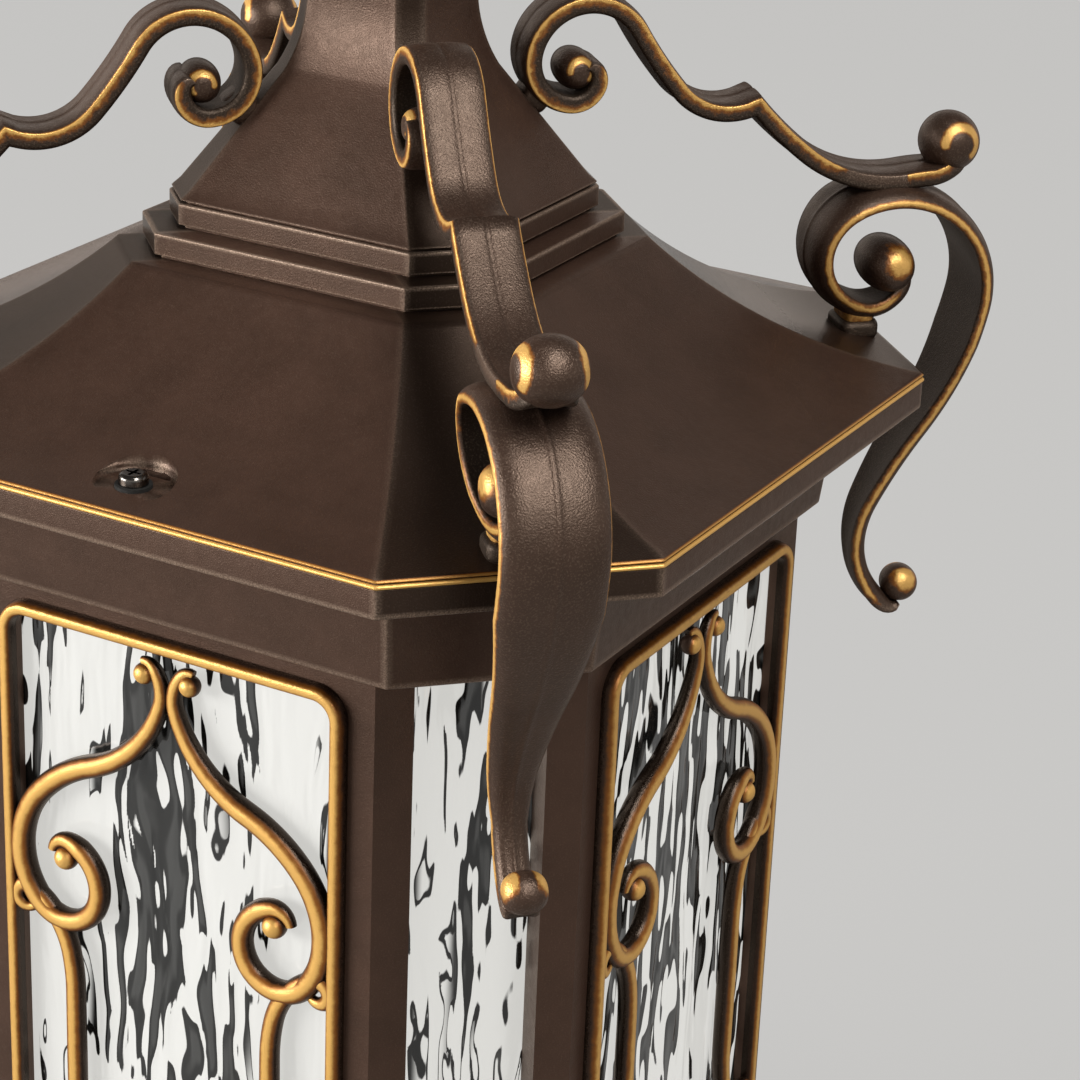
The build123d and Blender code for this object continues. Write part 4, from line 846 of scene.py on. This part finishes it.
class LANTERN_OT_roof(bpy.types.Operator):
    """Hipped roof shell with two gilded beads under its eave's crest and two sunk screw pockets"""
    bl_idname = "lantern.roof"
    bl_label = "Roof"

    def execute(self, context):
        shape = context.scene.lantern_shape
        sharp = 40
        seat = Z_SEAT - Z_EAVE
        crest_width = 4.6
        narrowing = ROOT2 / (1 + ROOT2)

        def stepped(distance, height, share=0.0, worn=0.0, gilt=0.0):
            return knot(narrowed(EAVE, distance, distance * narrowing), Z_EAVE + height, share, worn, gilt)

        rises = (0.0, ROOF_BEND_RISE, Z_RIM - Z_EAVE)
        z = np.linspace(0, rises[-1], 26)
        half, face = eased_flank((EAVE, ROOF_BEND, RIM), rises, z)
        clear = half < EAVE[0] - crest_width
        underside = [stepped(45, 2), stepped(31, 5), stepped(31, seat), stepped(24, seat), stepped(24, 2),
                     stepped(3, -3)]
        fascia = [stepped(3, -FASCIA, 0.6), stepped(0, -FASCIA, 1.0, 0.9), stepped(0, -3.0),
                  stepped(0.35, -2.8)]
        bends = shape.bead * unit(np.radians(np.linspace(-75, 75, 9)))
        lower_bead = [stepped(0.4 - out, -2.05 + 0.85 * up, gilt=1.0) for out, up in bends]
        upper_bead = [stepped(0.45, -1.3), stepped(0.45, -1.1), stepped(0.1, -0.95, gilt=0.6),
                      stepped(-0.1, -0.6, gilt=0.68), stepped(0.1, -0.2, gilt=0.55)]
        crest = [stepped(0.6, 0.06), stepped(1.2, 0.22), stepped(3.6, 0.68)]
        slope = [knot(plan, Z_EAVE + rise) for *plan, rise in zip(half[clear], face[clear], z[clear])]
        rim = [knot(narrowed(RIM, 8, 8), Z_RIM)]
        knots = underside + fascia + lower_bead + upper_bead + crest + slope + rim
        hips = ((Z_EAVE - 1, Z_EAVE + 1), (0.7, 0.2))
        # The roof's chamfers carry painted shade
        part = casting(knots, shape.edge, 1.4, hips, painted_chamfer_shade=0.8, face=0.45)
        piece = build("roof", [part], "roof", "bronze_casting", ["roof_shell"], sharp)

        # The cutter's shade attribute paints shade on the pockets' walls
        wall = [(POCKET_RADIUS - 1.4, 0), (POCKET_RADIUS - 0.4, 0.4), (POCKET_RADIUS, 1.4),
                (POCKET_RADIUS, 30)]
        points, faces, values = revolved(wall, 64, shade=np.ones(len(wall)))
        pocket = points + [0, -POCKET_PLACE, Z_EAVE + POCKET_FLOOR], faces, values
        cutter = build("pocket_cutter", [turned(pocket, turn) for turn in (0, 180)], "roof", "bronze_casting")
        piece.modifiers.clear()
        cut = piece.modifiers.new("Pockets", "BOOLEAN")
        cut.operation, cut.solver, cut.object = "DIFFERENCE", "EXACT", cutter
        hollowed = bpy.data.meshes.new_from_object(piece.evaluated_get(context.evaluated_depsgraph_get()))
        piece.modifiers.clear()
        piece.data = hollowed
        hollowed.set_sharp_from_angle(angle=math.radians(sharp))
        bpy.data.objects.remove(cutter)
        weigh_normals(piece)
        return {"FINISHED"}


class LANTERN_OT_steps(bpy.types.Operator):
    """Two stepped plates and the eight-sided spire on the roof, each with a shadow gap under it"""
    bl_idname = "lantern.steps"
    bl_label = "Steps and spire"

    def execute(self, context):
        edge = context.scene.lantern_shape.edge
        for name, plan, foot, head in (("lower_step_plate", LOWER_STEP, Z_RIM, Z_STEP),
                                       ("upper_step_plate", UPPER_STEP, Z_STEP, Z_SPIRE)):
            core, gap = narrowed(plan, 20, 20), narrowed(plan, *SHADOW_GAP)
            lip = foot + STEP_GAP_HEIGHT
            knots = [knot(core, foot), knot(gap, foot), knot(gap, lip), knot(plan, lip, 0.5, 1.0),
                     knot(plan, head, 1.0, 1.0), knot(core, head)]
            # The steps' chamfers carry painted shade
            part = casting(knots, edge * 0.6, 0.8, painted_chamfer_shade=0.9, face=0.05)
            build(name + "_cast", [part], "roof", "bronze_casting", [name])

        middle = tuple(neck + (bend - neck) * 0.26 for bend, neck in zip(SPIRE_BEND, SPIRE_NECK))
        rises = (SPIRE_BEND_RISE, (SPIRE_BEND_RISE + SPIRE_NECK_RISE) / 2, SPIRE_NECK_RISE)
        z = np.linspace(rises[0], rises[-1], 14)
        half, face = eased_flank((SPIRE_BEND, middle, SPIRE_NECK), rises, z)
        gap = narrowed(SPIRE_FOOT, *SHADOW_GAP)
        lip = Z_SPIRE + SPIRE_GAP_HEIGHT
        knots = [knot(narrowed(SPIRE_FOOT, 10, 10), Z_SPIRE), knot(gap, Z_SPIRE), knot(gap, lip),
                 knot(SPIRE_FOOT, lip, 0.4, 0.4)]
        leans = np.outer(np.linspace(0, 1, 12)[1:-1], (*SPIRE_LEAN, SPIRE_BEND_RISE))
        knots += [knot(narrowed(SPIRE_FOOT, *lean), Z_SPIRE + rise) for *lean, rise in leans]
        knots += [knot(plan, Z_SPIRE + rise) for *plan, rise in zip(half, face, z)]
        knots += [knot(SPIRE_NECK, Z_FINIAL, 0.8, 0.6), knot(narrowed(SPIRE_NECK, 8, 8), Z_FINIAL)]
        # The spire's chamfers carry painted shade
        part = casting(knots, edge, hips=((0,), (0.3,)), painted_chamfer_shade=0.8)
        build("spire_cast", [part], "roof", "bronze_casting", ["spire"])
        return {"FINISHED"}


class LANTERN_OT_finial(bpy.types.Operator):
    """Turned finial: foot, neck, ball and tip, with a gold line under and over the ball"""
    bl_idname = "lantern.finial"
    bl_label = "Finial"

    def execute(self, context):
        radius, tip, height, foot_height, foot_radius, line = 17.0, 4.0, 68.0, 5.0, 22.2, 1.1
        waist = radius * 0.62
        middle = 10.0 + radius
        spread = math.sqrt(radius ** 2 - waist ** 2)
        t = np.linspace(0, 1, 12)[:, None]

        def curve(first, pull, last):
            return (1 - t) ** 2 * first + 2 * t * (1 - t) * pull + t ** 2 * last

        foot = np.array([(10, 0), (foot_radius, 0), (22.8, 0.4), (23, 1.1), (23, 3.9), (22.8, 4.6),
                         (foot_radius, foot_height)])
        neck = np.array([(foot_radius, foot_height), (waist + 0.5, 6.0), (waist, middle - spread)])
        taper = np.array([(waist, middle + spread), (tip + 0.6, middle + spread + 5.5), (tip, height - tip)])
        angle = math.asin(spread / radius)
        orb = [0, middle] + radius * unit(np.linspace(-angle, angle, 28))
        point = [0, height - tip] + tip * unit(np.radians(np.linspace(0, 84, 10)))
        profile = np.concatenate([foot, curve(*neck)[1:], orb[1:], curve(*taper)[1:], point[1:]])
        worn = np.zeros(len(profile))
        worn[[3, 4]] = 0.8
        gilt = sum(np.exp(-((profile[:, 1] - level) / line) ** 2)
                   for level in (middle - spread, middle + spread))
        part = revolved(profile + [0, Z_FINIAL], 72, worn=worn, gilt=gilt)
        build("finial_turned", [part], "roof", "bronze_casting", ["finial"])
        return {"FINISHED"}


class LANTERN_OT_collar(bpy.types.Operator):
    """Tapered collar under the eave"""
    bl_idname = "lantern.collar"
    bl_label = "Collar"

    def execute(self, context):
        low = Z_FLANGE - COLLAR_HEIGHT
        knots = [knot(COLLAR_MOUTH, Z_FLANGE), knot(narrowed(COLLAR_TOP, *COLLAR_WALL), Z_FLANGE),
                 knot(narrowed(COLLAR_FOOT, *COLLAR_WALL), low, 0.5), knot(COLLAR_FOOT, low, 1.2, 0.7),
                 knot(COLLAR_TOP, Z_FLANGE), knot(COLLAR_TOP, Z_SEAL, 0.5, 0.3), knot(COLLAR_MOUTH, Z_SEAL)]
        part = casting(knots, context.scene.lantern_shape.edge, hollow=True)
        build("collar_cast", [part], "lantern", "bronze_casting", ["collar"])
        return {"FINISHED"}


class LANTERN_OT_pedestal(bpy.types.Operator):
    """Moulded pedestal: plinth, cove, bead and top course"""
    bl_idname = "lantern.pedestal"
    bl_label = "Pedestal"

    def execute(self, context):
        chamfer = (BODY[0] + BODY[1]) / ROOT2 - BODY[0] + 1.1
        top, cove, bead, plinth = (BODY[0] + proud for proud in (5, 6, 9, 22))
        ledge = plinth - 4
        mouth, wall = 70, 104
        foot, shelf, plinth_top, cove_top, bead_top, top_inside = 2, 16, 20, 48, 56, 60

        def row(half, z, share=0.0, worn=0.0):
            return knot((half, ROOT2 * (half + chamfer) - half), z, share, worn)

        z = np.linspace(plinth_top, cove_top, 14)
        belly = (cove + (ledge - cove) * 0.25, plinth_top + (cove_top - plinth_top) * 0.42)
        swept = arc_through((ledge, plinth_top), belly, (cove, cove_top), z)
        knots = [row(mouth, top_inside), row(wall, top_inside), row(ledge - 4, shelf), row(ledge, shelf),
                 row(ledge, foot), row(plinth, foot, 0.8, 0.5), row(plinth, plinth_top, 1.6, 1.0),
                 row(ledge, plinth_top, 0.4)]
        knots += [row(half, level) for half, level in zip(swept[1:-1], z[1:-1])]
        knots += [row(cove, cove_top, 0.3), row(bead, cove_top, 2.4, 0.3), row(bead, bead_top, 2.4, 1.0),
                  row(top, bead_top, 0.4), row(top, Z_BODY, 1.2, 1.0), row(mouth, Z_BODY)]
        part = casting(knots, context.scene.lantern_shape.edge, 1.6, hollow=True)
        build("pedestal_cast", [part], "lantern", "bronze_casting", ["pedestal"])
        return {"FINISHED"}


def build_arms(name, parts, sharp):
    """Four like arms over the chamfers."""
    for angle, corner in zip(ARM_TURNS, CORNERS):
        build(f"{name}_cast_{corner}", [turned(part, angle, Z_EAVE) for part in parts], "roof",
              "gilded_bronze_arms", [f"{name}_{corner}"], sharp)


class LANTERN_OT_lower_scrolls(bpy.types.Operator):
    """Four wide scrolls that stand on the roof's chamfers and hang below the eave"""
    bl_idname = "lantern.lower_scrolls"
    bl_label = "Lower scrolls"

    def execute(self, context):
        shape = context.scene.lantern_shape
        path = arc_chain(LOW_START, LOW_HEADING, LOW_RUNS, 1.1)
        row = np.arange(len(path[0]))
        share = row / len(row)
        tapered = np.interp(path[0][:, 1], [-72, -2], [9.5, 28])
        width = np.where(share < 0.33, np.interp(share, [0, 0.13, 0.26], [9, 20, 28]), tapered)
        gilded = np.clip(np.minimum(row, row[::-1]) / 8 - 0.5, 0, 1)
        parts = [strap(path, np.ones(len(row)), width, shape, line=0.35, shoulder=3.2, fades=(1.1, 1.3),
                       sunk=(-2.5, 2.0), gilded=gilded),
                 barrel(LOW_EYE, radius=8.2, width=23, roundness=0.6, gold=(0.13, -0.35, 0.0, 0.56)),
                 barrel(TAIL_BALL, radius=5.8, width=12, roundness=0.7, gold=(0.07, -0.5, 0.0, 0.72)),
                 pillow((LOW_FOOT, 7.0), (9.6, 13.4, 4.6), gilt=0.62),
                 # The lower tier of the foot carries painted shade under the gilded pad
                 pillow((LOW_FOOT, 3.0), (12.6, 16.2, 6.4), gilt=0.1, shade=1.0)]
        build_arms("lower_scroll", parts, sharp=50)
        return {"FINISHED"}


class LANTERN_OT_upper_scrolls(bpy.types.Operator):
    """Four narrow scrolls from the spire to the tops of the lower scrolls"""
    bl_idname = "lantern.upper_scrolls"
    bl_label = "Upper scrolls"

    def execute(self, context):
        shape = context.scene.lantern_shape
        spacing, seat_middle, leaf_end = 0.9, 147, 25
        loop = arc_chain(LOOP_START, LOOP_HEADING, LOOP_RUNS, spacing)
        leaf = arc_chain(loop[0][-1], LEAF_HEADING, LEAF_RUNS, spacing)
        path, stretch = mitred(loop, leaf, clear=2.4)
        left = np.arange(len(stretch))[::-1] * spacing
        width = np.interp(left, [0, 8, 16], [6, 14, 17.7])
        seat = np.where(left < leaf_end, 1.0, np.clip((np.abs(path[0][:, 0] - seat_middle) - 10) / 4, 0, 1))
        gilded = seat * np.clip(np.minimum(left, 2 * left[::-1]) / 7 - 0.5, 0, 1)
        comma = (0.06, -0.1, 0.56, 0.15)
        parts = [strap(path, stretch, width, shape, line=-shape.strap_groove, shoulder=0.5, fades=(0.6, 1.6),
                       sunk=(-2.5, 0.0), gilded=gilded),
                 barrel(LOOP_EYE, radius=5.8, width=17.4, roundness=0.6, gold=comma),
                 barrel(LEAF_ROLL, radius=9.0, width=19, roundness=0.85, gold=comma),
                 # The saddle and the spire pad under the scroll carry painted shade
                 pillow(SADDLE, (17, 13.5, 6.5), shade=1.0),
                 pillow(SPIRE_PAD, (9, 12, 9), shade=0.5, slope=-38)]
        build_arms("upper_scroll", parts, sharp=75)
        return {"FINISHED"}


# Section of a grille's frame: (in from its outer edge, proud of the panel, dark coat and painted shade,
# gold), in millimetres
FRAME_SECTION = np.array([
    (0.3, -0.4, 1, 0), (0, 0.2, 1, 0), (0.25, 1.6, 0.7, 0.2), (0.55, 2.9, 0.3, 0.42), (0.85, 3.5, 0.1, 0.55),
    (1.25, 3.85, 0, 0.68), (1.9, 4.0, 0, 0.82), (2.7, 4.0, 0, 0.86), (3.4, 3.85, 0, 0.62),
    (3.8, 3.5, 0, 0.45), (4.1, 2.9, 0.5, 0.2), (4.25, 1.5, 1, 0), (4.3, -2.45, 1, 0), (2.0, -2.45, 1, 0),
    (0.3, -0.4, 1, 0)])


class LANTERN_OT_grilles(bpy.types.Operator):
    """Four raised gilded frames with scrollwork"""
    bl_idname = "lantern.grilles"
    bl_label = "Frames and scrollwork"

    def frame_part(self):
        """The frame: its section carried round a rectangle with quarter-circle corners."""
        inward, proud, coat, gold = FRAME_SECTION.T
        middle, tall = (FRAME_TOP + FRAME_LOW) / 2, (FRAME_TOP - FRAME_LOW) / 2
        bend = np.radians(np.linspace(0, 90, 13) + np.array(QUARTERS)[:, None])
        signs = np.array([(1, 1), (-1, 1), (-1, -1), (1, -1)])
        centre = signs * [FRAME_HALF - FRAME_ROUND, tall - FRAME_ROUND]
        ring = centre[:, None] + unit(bend) * (FRAME_ROUND - inward)[:, None, None, None]
        ring = ring.reshape(len(inward), -1, 2)
        depth = np.broadcast_to(-BODY[0] - proud[:, None], ring.shape[:2])
        # The walls darken, partly the frame's own dark coat and partly painted shade at the outer wall's foot
        # and down the inner wall
        return grid_part(np.stack([ring[..., 0], depth, middle + ring[..., 1]], -1), gilt=gold[:, None],
                         shade=coat[:, None])

    def half_scrollwork(self):
        """Curl, upright bar with its two ends, and the balls in the curl's eyes, right of the middle."""
        scale = OPEN_HALF / DRAWN_HALF
        spacing = 0.9
        line = -BODY[0] - FRAME_PROUD + 2.6
        start = (CURL_START[0] * scale, OPEN_TOP + CURL_START[1] * scale)
        curl_runs, arch_runs = ([(radius * scale, turn) for radius, turn in runs]
                                for runs in (CURL_RUNS, ARCH_RUNS))
        head, foot = OPEN_TOP + ARCH_LEVEL * scale, OPEN_LOW + ARCH_FOOT * scale
        upright = (BAR_PLACE * scale, (head + foot) / 2)
        rising = [((head - foot) / 2, 0)] + arch_runs
        falling = [(radius, -turn) for radius, turn in rising]
        curl_taper = [0, 0.03, 0.1, 0.3, 0.6, 0.93, 1], [1.3, 2.1, 2.5, 3.4, 3.5, 3.1, 1.6]
        bar_taper = [0, 0.7, 0.93, 1], [3.0, 2.8, 2.3, 1.3]
        parts = []
        for place, heading, runs, taper in ((start, CURL_HEADING, curl_runs, curl_taper),
                                            (upright, 90, rising, bar_taper),
                                            (upright, -90, falling, bar_taper)):
            path = arc_chain(place, heading, runs, spacing)
            parts.append(bar(path, np.interp(np.linspace(0, 1, len(path[0])), *taper), line))
        for end, radius in ((0, 3.1), (-1, 3.6)):
            parts.append(ball(chain_eye(start, CURL_HEADING, curl_runs, end), radius, line - 0.5))
        return parts

    def execute(self, context):
        half = self.half_scrollwork()
        parts = [self.frame_part()] + half + [mirrored(part) for part in half]
        for angle, side in zip(QUARTERS, SIDES):
            build("grille_gilded_" + side, [turned(part, angle) for part in parts], "lantern",
                  "gilded_scrollwork", ["grille_" + side], sharp=60)
        return {"FINISHED"}


class LANTERN_OT_panes(bpy.types.Operator):
    """Four wide and four corner panes of rippled glass"""
    bl_idname = "lantern.panes"
    bl_label = "Panes"

    def execute(self, context):
        shape = context.scene.lantern_shape
        # How dense the streaks are, how they crowd in the middle, where they open: front and back, then sides
        wide_looks = ((0.03, 0.5, 0.6), (0.5, 0.3, 0.5))
        slim_look = (0.1, 0.2, 0.66)
        for index, (angle, side, corner) in enumerate(zip(QUARTERS, SIDES, CORNERS)):
            seed = shape.ripple_seed + 10 * index
            wide = pane(OPEN_HALF + PANE_LAP, OPEN_LOW - PANE_LAP, OPEN_TOP + PANE_LAP, WIDE_PANE_FRONT,
                        shape.ripple_depth, seed, *wide_looks[index % 2])
            build("wide_pane_rippled_" + side, [turned(wide, angle)], "lantern", "ripple_glass",
                  ["wide_pane_" + side])
            slim = pane(CORNER_PANE_HALF, Z_BODY, Z_FLANGE - 0.3, CORNER_PANE_FRONT, shape.ripple_depth,
                        seed + 5, *slim_look)
            build("corner_pane_rippled_" + corner, [turned(slim, angle + 45)], "lantern", "ripple_glass",
                  ["corner_pane_" + corner])
        return {"FINISHED"}


class LANTERN_OT_hardware(bpy.types.Operator):
    """Finishes of the CAD nodes that keep their own shape"""
    bl_idname = "lantern.hardware"
    bl_label = "Panels and hardware"

    def execute(self, context):
        weld, bevel_width, bevel_angle = 0.01 * MM, 0.7 * MM, math.radians(25)
        for row in frame["record"]["subparts"]:
            node = NODES[row["node"]]
            if node.hide_render:
                continue
            node.data.materials.clear()
            node.data.materials.append(finish_named(row["material_slot"]))
            if row["node"].startswith("side_panel_"):
                node.modifiers.new("Weld", "WELD").merge_threshold = weld
                bevel = node.modifiers.new("Soft edges", "BEVEL")
                bevel.width, bevel.segments, bevel.limit_method = bevel_width, 3, "ANGLE"
                bevel.angle_limit = bevel_angle
                node.modifiers.new("Face weighted normals", "WEIGHTED_NORMAL")
        return {"FINISHED"}


def in_view(tree):
    """1 on rays that come from the camera, also through glass, and 0 on others."""
    rays = [add(tree, "LightPath", give=f"Is {kind} Ray") for kind in ("Camera", "Transmission")]
    return add(tree, "Math", rays, operation="MAXIMUM")


def place_object(name, data, axes, place):
    """A lamp or camera in the scene, with its right, up and back axes and its place in metres."""
    holder = bpy.data.objects.new(name, data)
    bpy.context.scene.collection.objects.link(holder)
    holder.matrix_world = Matrix(np.vstack([np.column_stack([*axes, place]), [0, 0, 0, 1]]).tolist())
    return holder


class LANTERN_OT_stage(bpy.types.Operator):
    """Pale floor, soft lights and the camera"""
    bl_idname = "lantern.stage"
    bl_label = "Floor, light and camera"

    def lay_floor(self, scene, stage):
        """Matt paper. To the eye: an even pale grey that keeps the lantern's shadow."""
        reach, camera_share, gloss_share = 6, 0.8, 0.2
        x, y = np.meshgrid(*[np.linspace(-reach, reach, 25)] * 2)
        points, faces, _ = grid_part(np.stack([x, y, np.zeros_like(x)], -1), ring=False)
        mesh = bpy.data.meshes.new("floor")
        mesh.from_pydata(points.tolist(), [], faces.tolist())
        floor = bpy.data.objects.new("floor", mesh)
        scene.collection.objects.link(floor)
        paper, tree, shader = new_material("Matt paper backdrop", {"Roughness": 0.9})
        pale = np.array(stage.floor)
        place = add(tree, "TexCoord", give="Object")
        cloud = add(tree, "TexNoise", {"Vector": place, "Scale": 1.2, "Detail": 2.0})
        drift = add(tree, "Mix", {FACTOR: cloud, FIRST: pale * 0.62, SECOND: pale * 0.58}, MIXED,
                    data_type="RGBA")
        tree.links.new(drift, shader.inputs["Base Color"])
        gloss = add(tree, "LightPath", give="Is Glossy Ray")
        glint = add(tree, "Math", [gloss, gloss_share], operation="MULTIPLY")
        share = add(tree, "Math", [in_view(tree), camera_share, glint], operation="MULTIPLY_ADD")
        even = add(tree, "Emission", {"Color": pale, "Strength": 1.0})
        mixed = add(tree, "MixShader", [share, shader.outputs[0], even])
        tree.links.new(mixed, tree.nodes["Material Output"].inputs["Surface"])
        mesh.materials.append(paper)

    def light_world(self, scene, stage):
        """Even light; the camera sees it pale, and gloss sees it bright at the horizon and dark above."""
        world = bpy.data.worlds.new("Studio")
        scene.world = world
        world.use_nodes = True
        tree = world.node_tree
        sky = tree.nodes["Background"]
        sky.inputs["Color"].default_value = (1.0, 0.97, 0.94, 1.0)
        seen_strength, horizon, zenith = 0.56, 0.9, 0.13
        place = add(tree, "TexCoord", give="Generated")
        height = add(tree, "SeparateXYZ", [place], "Z")
        gloss = add(tree, "MapRange", [height, 0.05, 0.75, horizon, zenith],
                    interpolation_type="SMOOTHSTEP")
        glossy_ray = add(tree, "LightPath", give="Is Glossy Ray")
        strength = stage.world
        for share, other in ((in_view(tree), seen_strength), (glossy_ray, gloss)):
            strength = add(tree, "Mix", {FACTOR: share, LESS: strength, MORE: other},
                           data_type="FLOAT")
        tree.links.new(strength, sky.inputs["Strength"])

    def hang_lamps(self, stage):
        """Large key, narrow strip, and a panel that only gloss shows, all aimed at the body."""
        aim = np.array([0, 0, 0.3])
        for name, place, size, watts in (("key", (-1.75, -1.75, 0.7), (1.8, 1.0), stage.key),
                                         ("strip", (1.2, -0.5, 2.15), (0.5, 1.5), stage.strip),
                                         ("panel", (1.42, -1.11, 1.68), (0.5, 1.3), stage.panel)):
            lamp = bpy.data.lights.new(name, "AREA")
            lamp.shape, lamp.size, lamp.size_y, lamp.energy = "RECTANGLE", *size, watts
            back = (place - aim) / np.linalg.norm(place - aim)
            right = np.cross([0, 0, 1.0], back)
            right /= np.linalg.norm(right)
            holder = place_object(name, lamp, (right, np.cross(back, right), back), place)
            holder.visible_diffuse = name != "panel"

    def set_camera(self, scene):
        """The photo's camera."""
        camera = bpy.data.cameras.new("camera")
        camera.sensor_width, camera.lens = 36.0, CAMERA_LENS
        camera.clip_start, camera.clip_end = 0.05, 50
        azimuth, elevation, roll = np.radians(CAMERA_TURNS)
        right = np.array([math.cos(azimuth), math.sin(azimuth), 0])
        level = math.cos(elevation)
        back = np.array([right[1] * level, -right[0] * level, math.sin(elevation)])
        up = np.cross(back, right)
        lean, rise = math.sin(roll), math.cos(roll)
        axes = (rise * right + lean * up, rise * up - lean * right, back)
        scene.camera = place_object("camera", camera, axes, np.array(CAMERA_PLACE) * MM)

    def execute(self, context):
        scene = context.scene
        scene.view_settings.view_transform = "Standard"
        self.lay_floor(scene, scene.lantern_stage)
        self.light_world(scene, scene.lantern_stage)
        self.hang_lamps(scene.lantern_stage)
        self.set_camera(scene)
        return {"FINISHED"}


PIECES = (LANTERN_OT_roof, LANTERN_OT_steps, LANTERN_OT_finial, LANTERN_OT_collar, LANTERN_OT_pedestal,
          LANTERN_OT_lower_scrolls, LANTERN_OT_upper_scrolls, LANTERN_OT_grilles, LANTERN_OT_panes,
          LANTERN_OT_hardware, LANTERN_OT_stage)
GROUPS = {"lantern_shape": LanternShape, "lantern_finish": LanternFinish, "lantern_stage": LanternStage}


class LANTERN_PT_panel(bpy.types.Panel):
    """Sizes, colours and pieces of the lantern"""
    bl_label = "Pillar light"
    bl_idname = "LANTERN_PT_panel"
    bl_space_type = "VIEW_3D"
    bl_region_type = "UI"
    bl_category = "Pillar light"

    def draw(self, context):
        for name, kind in GROUPS.items():
            box = self.layout.box()
            for key in kind.__annotations__:
                box.prop(getattr(context.scene, name), key)
        for piece in PIECES:
            self.layout.operator(piece.bl_idname)


CLASSES = (*GROUPS.values(), *PIECES, LANTERN_PT_panel)


def register():
    for kind in CLASSES:
        bpy.utils.register_class(kind)
    for name, kind in GROUPS.items():
        setattr(bpy.types.Scene, name, PointerProperty(type=kind))


def unregister():
    for name in GROUPS:
        delattr(bpy.types.Scene, name)
    for kind in reversed(CLASSES):
        bpy.utils.unregister_class(kind)


def main():
    register()
    for piece in PIECES:
        family, name = piece.bl_idname.split(".")
        getattr(getattr(bpy.ops, family), name)()


if __name__ == "__main__":
    main()
